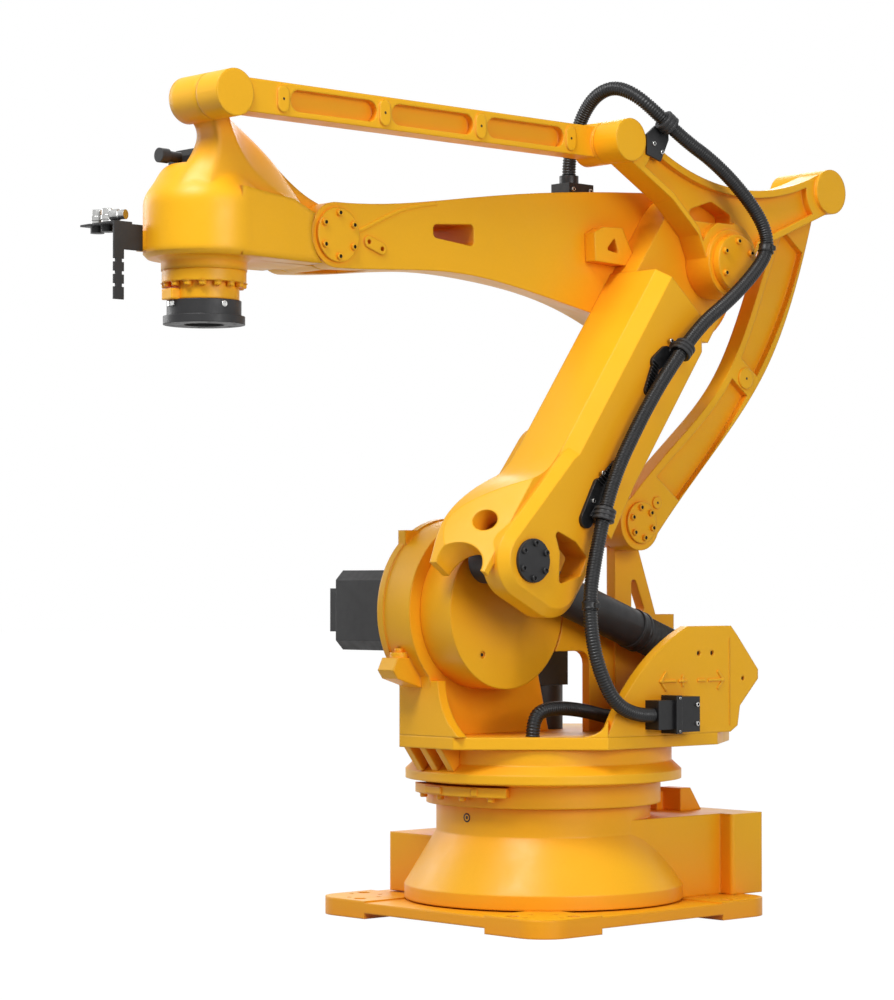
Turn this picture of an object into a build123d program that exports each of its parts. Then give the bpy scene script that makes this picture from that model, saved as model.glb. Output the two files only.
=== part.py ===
"""Four-axis palletising robot arm: floor-bolted base, slewing carousel, two-bar levelling linkage.

Millimetres. The origin is on the slewing axis at floor level, +X forward, +Y to the robot's left.
Every link is drawn upright about its own pivot in the X-Z plane, then placed in its rest pose.
"""
import math
import os

from build123d import *

# Clearances
SEAM = 0.6            # between two faces that turn on each other
FIT = 0.4             # between a fitted piece and its pocket

# Link lengths and rest pose
SHOULDER_X = 248.0
SHOULDER_Z = 815.0
LOWER_ARM_LENGTH = 1170.0
LOWER_ARM_LEAN = 36.0       # leaning back from upright
FOREARM_LENGTH = 1275.0
FOREARM_DROP = 0.4          # below level
LEVER_FRONT_X = 400.0       # front pin of the level lever, from the elbow
LEVER_FRONT_Z = 300.0
LEVER_REAR_X = -426.0       # rear pin of the level lever, from the elbow
LEVER_REAR_Z = 236.0
FLANGE_OFFSET = 330.0       # tool axis ahead of the wrist pin

# Planes across the robot, from right (-Y) to left (+Y)
MOTOR_END_Y = -492.0
HOUSING_RIGHT_Y = -120.0
HOUSING_LEFT_Y = 0.0
DRUM_LEFT_Y = 115.0
FOREARM_HALF = 112.4        # forearm and wrist fork, each side of the middle
ROD_RIGHT_Y = 127.0         # upper rod
ROD_LEFT_Y = 206.0
REAR_ROD_RIGHT_Y = 116.0    # rear rod
LEVER_LEFT_Y = 292.0
BEAM_LEFT_Y = 314.0         # left face of the lower arm
BALANCER_Y = 175.0
PANEL_LEFT_Y = 368.0

# Base
PLATE_SIDE = 880.0
PLATE_CORNER = 85.0
PAD_START = 229.0           # corner pads begin this far from the middle
PAD_TOP = 47.0
WEB_BOTTOM = 15.0
WEB_TOP = 43.0
ANCHOR_LONG = 400.0         # anchor holes, from the middle
ANCHOR_SHORT = 290.0
ANCHOR_RADIUS = 16.5
DOWEL_RADIUS = 6.5
FOOT_RADIUS = 374.0
FOOT_TOP = 84.0
NECK_RADIUS = 288.0
NECK_BOTTOM = 227.0
NECK_TOP = 302.0
TRUNK_HALF = 285.0
REAR_BOX_FRONT_X = -393.0
REAR_BOX_REAR_X = -520.0
REAR_BOX_HALF = 330.0
REAR_BOX_TOP = 264.0
SIDE_BOX_FRONT_X = 190.0
SIDE_BOX_OUT_Y = -412.0
SIDE_BOX_TOP = 206.0
CAST_ROUND = 12.0

# Slewing ring and carousel
SKIRT_RADIUS = 315.0
SKIRT_TOP = 359.0
RIM_RADIUS = 371.0
RIM_TOP = 392.0
DRUM_RADIUS = 345.0
DRUM_BEVEL_TOP = 416.0
FLOOR_BOTTOM = 458.0
FLOOR_TOP = 490.0
FLOOR_FRONT_X = 414.0
FLOOR_REAR_X = -470.0
FLOOR_RIGHT_Y = -290.0
CHAMFER_SUM = 499.0         # x + y on the slanted front-left face
PANEL_THICKNESS = 28.0
HOUSING_RADIUS = 241.0
STOP_DEPTH = 34.0           # stop segment, outward from the skirt
STOP_GAP = 9.0
STOP_START = -33.0
STOP_SWEEP = 62.0
TOWER_RIGHT_Y = 84.0
EAR_BOTTOM = 614.0
EAR_TOP = 694.0
WALL_END_Y = 108.0          # low end of the front wall
WALL_THICKNESS = 30.0
HOSE_BLOCK_X = -8.0         # front face of the connector block
HOSE_BLOCK_Z = 545.0
HOSE_BLOCK_DEPTH = 56.0

# Lower arm, drawn upright: x forward, z from the shoulder to the elbow
HUB_RADIUS = 204.0
BEAM_FRONT = 216.0
BEAM_REAR = -28.0
BEAM_BEVEL = 34.0
ELBOW_RADIUS = 212.0
ELBOW_REAR = -122.0
PIN_X = 162.0               # balancer pin
PIN_Z = 43.0
PIN_CAP_RADIUS = 56.0
PIN_CAP_THICKNESS = 9.0
CHEEK_RIGHT_Y = 236.0
FRONT_WALL = 34.0
HOOD_FRONT = 321.0
HOOD_BACK = 238.0
HOOD_BOTTOM = -60.0
HOOD_ARCH = 66.0
HOOD_HOLE = 31.0
HOOD_HOLE_Z = 84.0
DRUM_PLUG_RADIUS = 9.0
ELBOW_STOP_WIDTH = 38.0
BALANCER_PIN_RADIUS = 26.0

# Balancer
ANCHOR_X = -430.0
ANCHOR_Z = 672.0
BARREL_RADIUS = 52.0
BARREL_BORE = 44.0
BARREL_END = 580.0          # from the pin
BOOT_END = 750.0
BOOT_PLEATS = 12
BALANCER_ROD_RADIUS = 17.0
BALANCER_EYE = 34.0
BALANCER_TAIL = 48.0

# Rods and lever
REAR_ROD_BOW = 102.0
REAR_ROD_WIDTH = 128.0
REAR_ROD_HUB = 75.0
ROD_RIM = 19.0
POCKET_DEPTH = 20.0
ROD_HEIGHT = 81.0
ROD_HUB = 57.0
ROD_PAD = 50.0
LEVER_HUB = 94.0
LEVER_REAR_HUB = 63.0
LEVER_RIM = 20.0
LEVER_SLOT = 17.0
ELBOW_CAP_RADIUS = 78.0
ELBOW_CAP_THICKNESS = 22.0

# Hose
HOSE_RADIUS = 19.0
HOSE_STAND = 36.0           # middle of the hose above the left face of the lower arm
CLAMP_LENGTH = 34.0
FLOOR_HOSE_Y = 198.0
FLOOR_BOX = 74.0            # side of the junction box
FLOOR_BOX_X = -190.0        # its front face
CLAMP_RUN_LOW = 4           # runs of the hose route that its clamps hold
CLAMP_RUN_HIGH = 7
CLAMP_RUN_LEVER = 15

# Forearm and wrist
FOREARM_HUB = 210.0
FORK_RADIUS = 82.0
FORK_HALF_GAP = 62.0
FORK_DEPTH = 150.0
FORK_CAP_RADIUS = 68.0
FORK_CAP_THICKNESS = 8.0
HEAD_RADIUS = 149.0
HEAD_BOTTOM = -77.0
HEAD_SHOULDER = 50.0
HEAD_TOP = 152.0
HEAD_CLEAR = 8.0            # head behind the fork cheeks
WRIST_MOTOR = 88.0
WRIST_MOTOR_Y = -42.0
BRACKET_Y = -63.0           # plate of the sensor bracket
BRACKET_SHEET = 5.0
NECK_RING_RADIUS = 105.0
HEAD_THROAT = 30.0          # short neck under the head
BOLT_RING_RADIUS = 103.0
BAND_HEIGHT = 30.0
RING_DRUM_RADIUS = 86.0
BOLT_RING_BOTTOM = -179.0
FLANGE_BODY_RADIUS = 91.0
FLANGE_LIP_RADIUS = 100.0
FLANGE_LIP_TOP = -217.0
FLANGE_FACE = -237.0
FLANGE_PILOT_RADIUS = 50.0
FLANGE_PILOT_DEPTH = 12.0
FLANGE_BOLT_CIRCLE = 160.0
FLANGE_BOLT_COUNT = 6
FLANGE_BOLT_RADIUS = 5.1
LUG_RIGHT_Y = 34.0

lean = math.radians(LOWER_ARM_LEAN)
drop = math.radians(FOREARM_DROP)
ELBOW_X = SHOULDER_X - LOWER_ARM_LENGTH * math.sin(lean)
ELBOW_Z = SHOULDER_Z + LOWER_ARM_LENGTH * math.cos(lean)
WRIST_X = ELBOW_X + FOREARM_LENGTH * math.cos(drop)
WRIST_Z = ELBOW_Z - FOREARM_LENGTH * math.sin(drop)
FOOT_PIN_X = SHOULDER_X + LEVER_REAR_X
FOOT_PIN_Z = SHOULDER_Z + LEVER_REAR_Z
PIN_WORLD_X = SHOULDER_X + PIN_X * math.cos(lean) - PIN_Z * math.sin(lean)
PIN_WORLD_Z = SHOULDER_Z + PIN_X * math.sin(lean) + PIN_Z * math.cos(lean)
BALANCER_LENGTH = math.hypot(PIN_WORLD_X - ANCHOR_X, PIN_WORLD_Z - ANCHOR_Z)
BALANCER_RISE = math.degrees(math.atan2(PIN_WORLD_Z - ANCHOR_Z, PIN_WORLD_X - ANCHOR_X))
LEVER_RIGHT_Y = ROD_LEFT_Y + SEAM
ELBOW_RIGHT_Y = FOREARM_HALF + SEAM
ELBOW_LEFT_Y = LEVER_RIGHT_Y - SEAM
REAR_ROD_LEFT_Y = LEVER_RIGHT_Y - SEAM


def slab(sketch, y_low, y_high):
    """An X-Z outline carried straight across the robot from y_low to y_high."""
    return extrude(Pos(0, y_high, 0) * (Plane.XZ * sketch), y_high - y_low, dir=(0, -1, 0))


def disc(x, z, radius, y_low, y_high):
    """A round boss whose axis runs across the robot."""
    return slab(Pos(x, z) * Circle(radius), y_low, y_high)


def block(x_low, x_high, y_low, y_high, z_low, z_high):
    """A plain block between two corners."""
    size = Box(x_high - x_low, y_high - y_low, z_high - z_low, align=(Align.MIN,) * 3)
    return Pos(x_low, y_low, z_low) * size


def post(x, y, radius, z_low, z_high):
    """A round upright."""
    return Pos(x, y, z_low) * Cylinder(radius, z_high - z_low, align=(Align.CENTER, Align.CENTER, Align.MIN))


def outline(*points):
    """A closed outline through the points."""
    return Polygon(*points, align=None)


def link(*ends):
    """The outline of a strap wrapped round several (x, z, radius) bosses."""
    return make_hull([edge for x, z, r in ends for edge in (Pos(x, z) * Circle(r)).edges()])


def placed(solid, x, z, pitch=0.0):
    """A link drawn about its own pivot, carried to its rest pose."""
    return Pos(x, 0, z) * Rot(0, pitch, 0) * solid


def rounded(sketch, radius):
    """The outline with every corner rounded."""
    return fillet(sketch.vertices(), radius)


def base_plate():
    """Square floor plate on four thick corner pads with anchor and dowel holes."""
    half = PLATE_SIDE / 2
    side = half - PAD_START
    web = rounded(Rectangle(PLATE_SIDE, PLATE_SIDE), PLATE_CORNER)
    plate = Pos(0, 0, WEB_BOTTOM) * extrude(web, WEB_TOP - WEB_BOTTOM)
    corner = extrude(web, PAD_TOP)
    middle = PAD_START + side / 2
    for sx in (-1, 1):
        for sy in (-1, 1):
            pad = Pos(sx * middle, sy * middle, PAD_TOP / 2) * Box(side, side, PAD_TOP)
            plate += pad & corner
    anchors = [(ANCHOR_LONG, ANCHOR_SHORT), (ANCHOR_SHORT, ANCHOR_LONG)]
    dowels = [(ANCHOR_LONG, middle), (middle, ANCHOR_LONG), (ANCHOR_SHORT, middle), (middle, ANCHOR_SHORT)]
    for spots, radius in ((anchors, ANCHOR_RADIUS), (dowels, DOWEL_RADIUS)):
        for x, y in spots:
            for sx in (-1, 1):
                for sy in (-1, 1):
                    plate -= post(sx * x, sy * y, radius, 0, PAD_TOP)
    return plate


def base_pedestal():
    """Cast cone with the rear cable trunk and the box on its right side."""
    profile = outline(
        (0, PAD_TOP), (FOOT_RADIUS, PAD_TOP), (FOOT_RADIUS, FOOT_TOP),
        (NECK_RADIUS, NECK_BOTTOM), (NECK_RADIUS, NECK_TOP), (0, NECK_TOP))
    cone = revolve(Plane.XZ * profile, Axis.Z)
    trunk = block(REAR_BOX_FRONT_X, 0, -TRUNK_HALF, TRUNK_HALF, PAD_TOP, REAR_BOX_TOP)
    rear = block(REAR_BOX_REAR_X, REAR_BOX_FRONT_X, -REAR_BOX_HALF, REAR_BOX_HALF, PAD_TOP, REAR_BOX_TOP)
    rear = fillet(rear.edges().filter_by(Axis.Z), CAST_ROUND)
    side = block(-SIDE_BOX_FRONT_X, SIDE_BOX_FRONT_X, SIDE_BOX_OUT_Y, 0, PAD_TOP, SIDE_BOX_TOP)
    side = fillet(side.edges().filter_by(Axis.Z), CAST_ROUND)
    return cone + trunk + rear + side


def rear_connectors():
    """Two cable entries on the back of the trunk."""
    entries = []
    for z in (88.0, 206.0):
        entries.append(block(REAR_BOX_REAR_X - 15, REAR_BOX_REAR_X, -160, 160, z - 21, z + 21))
    return Compound(children=entries)


def swing_stop():
    """Wedge on the trunk that ends the swing of the carousel, with its buffer block."""
    front = -SKIRT_RADIUS - STOP_DEPTH - STOP_GAP
    top = REAR_BOX_TOP + 62
    low = REAR_BOX_TOP
    wedge = outline((front - 24, low), (front - 24, top), (front - 64, top), (front - 108, low))
    buffer = outline((front - 40, low), (front - 40, top - 12), (front, top - 12), (front, low))
    return slab(wedge, 70, 150) + slab(buffer, 40, 84)


def slewing_ring():
    """Skirt, bolted rim and drum of the carousel."""
    profile = outline(
        (0, NECK_TOP + SEAM), (SKIRT_RADIUS, NECK_TOP + SEAM), (SKIRT_RADIUS, SKIRT_TOP),
        (RIM_RADIUS, SKIRT_TOP + 9), (RIM_RADIUS, RIM_TOP), (DRUM_RADIUS, DRUM_BEVEL_TOP),
        (DRUM_RADIUS, FLOOR_BOTTOM), (0, FLOOR_BOTTOM))
    return revolve(Plane.XZ * profile, Axis.Z)


def carousel_floor():
    """Floor casting with its slanted front-left face and three front gussets."""
    plan = outline(
        (FLOOR_FRONT_X, HOUSING_RIGHT_Y), (FLOOR_FRONT_X, CHAMFER_SUM - FLOOR_FRONT_X),
        (CHAMFER_SUM - PANEL_LEFT_Y, PANEL_LEFT_Y), (-290, PANEL_LEFT_Y), (FLOOR_REAR_X, 250),
        (FLOOR_REAR_X, -150), (-330, FLOOR_RIGHT_Y), (245, FLOOR_RIGHT_Y))
    floor = Pos(0, 0, FLOOR_BOTTOM) * extrude(plan, FLOOR_TOP - FLOOR_BOTTOM)
    rib = outline(
        (DRUM_RADIUS - 60, FLOOR_BOTTOM), (FLOOR_FRONT_X - 4, FLOOR_BOTTOM),
        (RIM_RADIUS - 8, RIM_TOP + 4), (DRUM_RADIUS - 60, RIM_TOP + 4))
    clear = post(0, 0, RIM_RADIUS, RIM_TOP, RIM_TOP + 0.5) + post(0, 0, DRUM_RADIUS, RIM_TOP, FLOOR_BOTTOM)
    for y in (-95, -35, 25):
        floor += slab(rib, y - 11, y + 11) - clear - slewing_ring()
    return floor


def shoulder_housing():
    """Round gearbox housing of the shoulder on its cheek, with the front wall, clamp ear and corner tab."""
    x, z = SHOULDER_X, SHOULDER_Z
    right, left = HOUSING_RIGHT_Y, HOUSING_LEFT_Y
    front = FLOOR_FRONT_X
    cheek = outline(
        (front, FLOOR_TOP), (front, EAR_BOTTOM), (x + 190, z - 60), (x - 200, z - 60), (-20, FLOOR_TOP))
    housing = slab(cheek, right, left) + disc(x, z, HOUSING_RADIUS, right, left)
    rim = disc(x, z, HOUSING_RADIUS + 4, right, right + 22)
    ear = outline(
        (front - 20, EAR_TOP), (front + 84, EAR_TOP), (front + 100, EAR_TOP - 32),
        (front + 84, EAR_BOTTOM + 26), (front - 20, EAR_BOTTOM - 6))
    housing += rim + slab(ear, right + 26, left - 34) + post(front + 56, right / 2, 24, EAR_TOP, EAR_TOP + 14)
    corner = HOUSING_RADIUS * math.sqrt(0.5)
    tab = outline((x, z + corner), (x + corner, z), (x + corner, z + HOUSING_RADIUS * 0.88),
                  (x + corner * 0.6, z + HOUSING_RADIUS * 0.88))
    housing += slab(tab, right, right + 28)
    brow = EAR_BOTTOM + 20
    slope = Polyline((left - 1, brow), (left - 1, FLOOR_TOP), (WALL_END_Y, FLOOR_TOP))
    hollow = ThreePointArc((WALL_END_Y, FLOOR_TOP), (WALL_END_Y * 0.5, brow - 90), (left + 26, brow))
    top = Line((left + 26, brow), (left - 1, brow))
    wall = Plane.YZ * make_face(slope.edges() + hollow.edges() + top.edges())
    return housing + Pos(front, 0, 0) * extrude(wall, WALL_THICKNESS, dir=(-1, 0, 0))


def shoulder_motor():
    """Square servo motor of the shoulder, narrower at its rear end."""
    x, z = SHOULDER_X, SHOULDER_Z
    body = Pos(x, z) * chamfer(Rectangle(216, 216).vertices(), 26)
    rear = Pos(x + 10, z) * Rectangle(150, 118)
    front = HOUSING_RIGHT_Y
    return slab(body, MOTOR_END_Y + 50, front) + slab(rear, MOTOR_END_Y, MOTOR_END_Y + 50)


def side_panel():
    """Left panel of the carousel: hollowed front edge and pointed rear."""
    front_bottom = (CHAMFER_SUM - PANEL_LEFT_Y, FLOOR_TOP)
    top_front = (-175, 774)
    edge = Polyline(
        top_front, (-345, 774), (-371, 748), (-455, 655), (-455, 630), (-381, 559), (-371, 506),
        (-342, FLOOR_TOP), front_bottom, (131, FLOOR_TOP + 6))
    hollow = ThreePointArc((131, FLOOR_TOP + 6), (25, 640), top_front)
    face = make_face(edge.edges() + hollow.edges())
    panel = slab(face, PANEL_LEFT_Y - PANEL_THICKNESS, PANEL_LEFT_Y)
    for x, z, radius in ((-216, 702, 7), (-269, 702, 7), (-393, 632, 6)):
        panel -= disc(x, z, radius, PANEL_LEFT_Y - PANEL_THICKNESS, PANEL_LEFT_Y)
    return panel


def link_tower():
    """A-shaped tower that carries the lower pin of the rear rod."""
    x, z = FOOT_PIN_X, FOOT_PIN_Z
    left_y = REAR_ROD_RIGHT_Y - SEAM
    frame = outline(
        (x + 18, z + 10), (x + 18, FLOOR_TOP), (x - 270, FLOOR_TOP), (x - 270, z - 490), (x - 216, z - 304),
        (x - 216, z - 248), (x - 142, z - 248), (x - 66, z - 50), (x - 58, z + 10))
    tower = slab(frame, TOWER_RIGHT_Y, left_y) + disc(x, z, 66, TOWER_RIGHT_Y - 20, left_y)
    window = rounded(outline((x - 46, z - 116), (x - 46, z - 242), (x - 102, z - 242)), 10)
    foot = block(x - 216, x + 18, TOWER_RIGHT_Y - 30, left_y, FLOOR_TOP, FLOOR_TOP + 24)
    return tower + foot - slab(window, TOWER_RIGHT_Y, left_y)


def balancer_anchor():
    """Two-cheek bracket on the floor for the rear eye of the balancer."""
    back, front = ANCHOR_X - 38, ANCHOR_X + 60
    foot = outline((back, FLOOR_TOP), (front, FLOOR_TOP), (ANCHOR_X + 38, ANCHOR_Z), (back, ANCHOR_Z))
    half = BALANCER_TAIL / 2 + SEAM
    bracket = block(back, front, BALANCER_Y - half, BALANCER_Y + half, FLOOR_TOP, FLOOR_TOP + 30)
    for side in (-1, 1):
        low, high = sorted((BALANCER_Y + side * half, BALANCER_Y + side * (half + 20)))
        bracket += slab(foot, low, high) + disc(ANCHOR_X, ANCHOR_Z, 38, low, high)
    return bracket


def slew_motor():
    """Motor of the slewing axis standing on the floor behind the arm."""
    body = Pos(-98, -110, FLOOR_TOP + 120) * Box(108, 108, 100, align=(Align.CENTER, Align.CENTER, Align.MIN))
    return body + post(-98, -110, 62, FLOOR_TOP, FLOOR_TOP + 120)


def hose_block():
    """Connector block on the left panel where the hose starts."""
    x, z = HOSE_BLOCK_X, HOSE_BLOCK_Z
    back = block(x - 150, x - 62, PANEL_LEFT_Y, PANEL_LEFT_Y + HOSE_BLOCK_DEPTH, z - 46, z + 46)
    nose = block(x - 62, x, PANEL_LEFT_Y, PANEL_LEFT_Y + HOSE_BLOCK_DEPTH - 8, z - 38, z + 38)
    return back + nose


def turret_stop():
    """Bolted stop segment on the skirt, under the rim."""
    inner, outer = SKIRT_RADIUS + FIT, SKIRT_RADIUS + STOP_DEPTH
    low, high = NECK_TOP + 30, SKIRT_TOP - 1
    ring = outline((inner, low), (outer, low), (outer, high), (inner, high))
    return Rot(0, 0, STOP_START) * revolve(Plane.XZ * ring, Axis.Z, STOP_SWEEP)


def lower_arm():
    """Lower arm casting: shoulder drum, hooded balancer fork, bevelled beam and round elbow."""
    top = LOWER_ARM_LENGTH
    right = ELBOW_RIGHT_Y
    bevel_y = BEAM_LEFT_Y - BEAM_BEVEL
    drum = disc(0, 0, HUB_RADIUS, HOUSING_LEFT_Y + SEAM, DRUM_LEFT_Y)
    drum += slab(link((0, 0, HUB_RADIUS - 4), (80, 420, 106)), DRUM_LEFT_Y / 2, DRUM_LEFT_Y)
    drum -= disc(5, -HUB_RADIUS * 0.7, DRUM_PLUG_RADIUS, DRUM_LEFT_Y - 12, DRUM_LEFT_Y)
    brow = Spline((HOOD_FRONT - 25, HOOD_BOTTOM), (HOOD_FRONT, 60), (HOOD_FRONT - 66, 236), (BEAM_FRONT, 440),
                  tangents=((0.3, 1), (0, 1)))
    back = Polyline((BEAM_FRONT, 440), (BEAM_FRONT - FRONT_WALL, 440), (HOOD_BACK, 130),
                    (HOOD_BACK, HOOD_BOTTOM), (HOOD_FRONT - 25, HOOD_BOTTOM))
    hood = slab(make_face(brow.edges() + back.edges()), DRUM_LEFT_Y - 1, bevel_y)
    inner_y = DRUM_LEFT_Y - 1
    plan = outline((BEAM_FRONT - 60, inner_y), (HOOD_FRONT + 6, inner_y), (HOOD_FRONT - 66, bevel_y),
                   (BEAM_FRONT - 60, bevel_y))
    hood = hood & Pos(0, 0, HOOD_BOTTOM) * extrude(plan, top)
    middle = (DRUM_LEFT_Y + bevel_y) / 2 + 6
    arch = Pos(HOOD_BACK - 40, middle, HOOD_BOTTOM) * Rot(0, 90, 0) * Cylinder(
        HOOD_ARCH, 200, align=(Align.CENTER, Align.CENTER, Align.MIN))
    hole = Pos(HOOD_BACK - 40, middle + 14, HOOD_HOLE_Z) * Rot(0, 90, 0) * Cylinder(
        HOOD_HOLE, 200, align=(Align.CENTER, Align.CENTER, Align.MIN))
    hood -= arch + hole
    beam = outline(
        (BEAM_FRONT, 300), (BEAM_FRONT, top - 200), (BEAM_REAR + 60, top - 212), (BEAM_REAR, top - 290),
        (BEAM_REAR, 430), (-40, 260))
    trunk = slab(beam, right, BEAM_LEFT_Y)
    edge = trunk.edges().filter_by(Axis.Z).filter_by_position(Axis.X, BEAM_FRONT - 1, BEAM_FRONT + 1)
    trunk = chamfer(edge.filter_by_position(Axis.Y, BEAM_LEFT_Y - 1, BEAM_LEFT_Y + 1), BEAM_BEVEL)
    lobe = link((PIN_X, PIN_Z, 100), (60, 60, 100), (60, 330, 100), (120, 330, 96))
    lobe = slab(lobe, CHEEK_RIGHT_Y, BEAM_LEFT_Y)
    lobe = chamfer(lobe.faces().sort_by(Axis.Y)[-1].edges(), BEAM_BEVEL * 0.7)
    window = rounded(outline((146, 156), (62, 176), (4, 168), (-4, 116), (47, 50), (92, 120)), 10)
    lobe -= slab(window, CHEEK_RIGHT_Y, BEAM_LEFT_Y)
    round_end = Pos(0, top) * Circle(ELBOW_RADIUS)
    round_end += outline((BEAM_FRONT - 4, top - 310), (BEAM_FRONT - 4, top), (-60, top), (-18, top - 310))
    elbow = slab(round_end, right, ELBOW_LEFT_Y)
    elbow -= block(-2 * ELBOW_RADIUS, ELBOW_REAR, 0, BEAM_LEFT_Y, top - 300, top + 300)
    arm = drum + hood + trunk + lobe + elbow
    arm -= disc(PIN_X, PIN_Z, BALANCER_PIN_RADIUS, CHEEK_RIGHT_Y, BEAM_LEFT_Y)
    return placed(arm, SHOULDER_X, SHOULDER_Z, -LOWER_ARM_LEAN)


def elbow_stop():
    """Stop lug with a triangular hole on the front of the elbow."""
    top = LOWER_ARM_LENGTH
    x = BEAM_FRONT - 4
    lug = outline(
        (x, top - 128), (x, top - 172), (x + 98, top - 238), (x + 146, top - 178), (x + 128, top - 144),
        (x + 70, top - 98))
    hole = rounded(outline((x + 84, top - 186), (x + 78, top - 138), (x + 40, top - 164)), 5)
    stop = slab(lug - hole, ELBOW_RIGHT_Y, ELBOW_RIGHT_Y + ELBOW_STOP_WIDTH)
    return placed(stop, SHOULDER_X, SHOULDER_Z, -LOWER_ARM_LEAN)


def balancer_pin():
    """Pin of the balancer in its fork, with the round cap on the left face."""
    pin = disc(PIN_X, PIN_Z, BALANCER_PIN_RADIUS - FIT, DRUM_LEFT_Y, BEAM_LEFT_Y)
    cap = disc(PIN_X, PIN_Z, PIN_CAP_RADIUS, BEAM_LEFT_Y, BEAM_LEFT_Y + PIN_CAP_THICKNESS)
    return placed(pin + cap, SHOULDER_X, SHOULDER_Z, -LOWER_ARM_LEAN)


def along_balancer(solid):
    """Carries a solid drawn along -X from the balancer pin to its rest pose."""
    return Pos(PIN_WORLD_X, BALANCER_Y, PIN_WORLD_Z) * Rot(0, -BALANCER_RISE, 0) * solid


def balancer_barrel():
    """Gas cylinder hung on the lower arm by its front eye."""
    tube = outline(
        (-60, 0), (-60, BARREL_RADIUS), (-BARREL_END, BARREL_RADIUS), (-BARREL_END, BARREL_BORE),
        (-180, BARREL_BORE), (-180, 0))
    barrel = revolve(tube, Axis.X)
    eye = Rot(90, 0, 0) * Cylinder(58, 2 * BALANCER_EYE)
    neck = Pos(-45, 0, 0) * Box(60, 2 * BALANCER_EYE, 76)
    return along_balancer(barrel + eye + neck - Rot(90, 0, 0) * Cylinder(26 + FIT, 2 * BARREL_RADIUS))


def balancer_boot():
    """Pleated boot behind the barrel."""
    pitch = (BOOT_END - BARREL_END) / BOOT_PLEATS
    points = [(-BARREL_END, BARREL_BORE - 2)]
    for i in range(BOOT_PLEATS):
        start = -BARREL_END - i * pitch
        points += [(start, 50), (start - pitch / 2, 42)]
    points += [(-BOOT_END, 50), (-BOOT_END, BARREL_BORE - 8), (-BARREL_END - 2, BARREL_BORE - 8)]
    return along_balancer(revolve(outline(*points), Axis.X))


def balancer_rod():
    """Piston rod of the balancer with its rear eye."""
    rod = Pos(-BALANCER_LENGTH, 0, 0) * Rot(0, 90, 0) * Cylinder(
        BALANCER_ROD_RADIUS, BALANCER_LENGTH - 300, align=(Align.CENTER, Align.CENTER, Align.MIN))
    eye = Pos(-BALANCER_LENGTH, 0, 0) * Rot(90, 0, 0) * Cylinder(32, 48)
    return along_balancer(rod + eye)


def rear_rod_outline(inset):
    """Bowed outline of the rear rod, drawn upright and drawn in by the inset."""
    length = LOWER_ARM_LENGTH
    half = REAR_ROD_WIDTH / 2 - inset
    bow = REAR_ROD_BOW
    foot = REAR_ROD_HUB - 4 - inset
    head = LEVER_REAR_HUB - 8 - inset
    outer = Spline((-foot, 0), (-bow * 1.12 - half * 0.4, length * 0.36), (-bow - half + 4, length * 0.57),
                   (-bow * 0.9 - half * 0.55, length * 0.79), (-head, length))
    inner = Spline(
        (head, length), (-bow * 0.85 + half * 1.16, length * 0.68),
        (-bow * 1.13 + half * 1.16, length * 0.44), (-bow * 0.7 + half * 1.22, length * 0.24), (foot, 0))
    ends = Line((-head, length), (head, length)).edges() + Line((foot, 0), (-foot, 0)).edges()
    return make_face(outer.edges() + inner.edges() + ends)


def rear_rod():
    """Bowed rod of the rear linkage with two pockets on each side."""
    length = LOWER_ARM_LENGTH
    low, high = REAR_ROD_RIGHT_Y + 26, REAR_ROD_LEFT_Y - 14
    rod = slab(rear_rod_outline(0), low, high)
    inside = rear_rod_outline(ROD_RIM)
    for start, end in ((0.12, 0.47), (0.53, 0.88)):
        band = Pos(0, length * (start + end) / 2) * Rectangle(4 * REAR_ROD_WIDTH, length * (end - start))
        pocket = inside & band
        rod -= slab(pocket, high - POCKET_DEPTH, high) + slab(pocket, low, low + POCKET_DEPTH)
    rod += disc(0, 0, REAR_ROD_HUB, REAR_ROD_RIGHT_Y, high)
    rod += disc(0, length, LEVER_REAR_HUB, REAR_ROD_RIGHT_Y, REAR_ROD_LEFT_Y)
    return placed(rod, FOOT_PIN_X, FOOT_PIN_Z, -LOWER_ARM_LEAN)


def rear_rod_cap():
    """Bolted cap on the lower pin of the rear rod."""
    return disc(FOOT_PIN_X, FOOT_PIN_Z, 56, REAR_ROD_LEFT_Y - 14, REAR_ROD_LEFT_Y - 6)


def lever_outline(inset):
    """Winged outline of the lever about the elbow pin, drawn in by the inset."""
    front_x, front_z = LEVER_FRONT_X, LEVER_FRONT_Z
    rear_x, rear_z = LEVER_REAR_X, LEVER_REAR_Z
    hub = LEVER_HUB
    front_half, rear_half = ROD_HUB - 6 - inset, LEVER_REAR_HUB - 4 - inset
    brow = Spline((front_x - 20, front_z + front_half), (front_x * 0.5, rear_z + 18 - inset),
                  (-hub * 0.2, rear_z - 26 - inset), (rear_x * 0.5, rear_z - 10 - inset),
                  (rear_x + 16, rear_z + rear_half))
    chin = Polyline(
        (rear_x + 16, rear_z + rear_half), (rear_x, rear_z - rear_half), (-hub * 1.3, hub * 0.55 + inset),
        (-hub * 0.8, -hub * 0.3 + inset), (hub * 0.8, -hub * 0.3 + inset), (hub * 1.3, hub * 0.75 + inset),
        (front_x * 0.56, front_z * 0.52 + inset), (front_x - 4, front_z - front_half),
        (front_x - 20, front_z + front_half))
    return make_face(brow.edges() + chin.edges())


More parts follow.
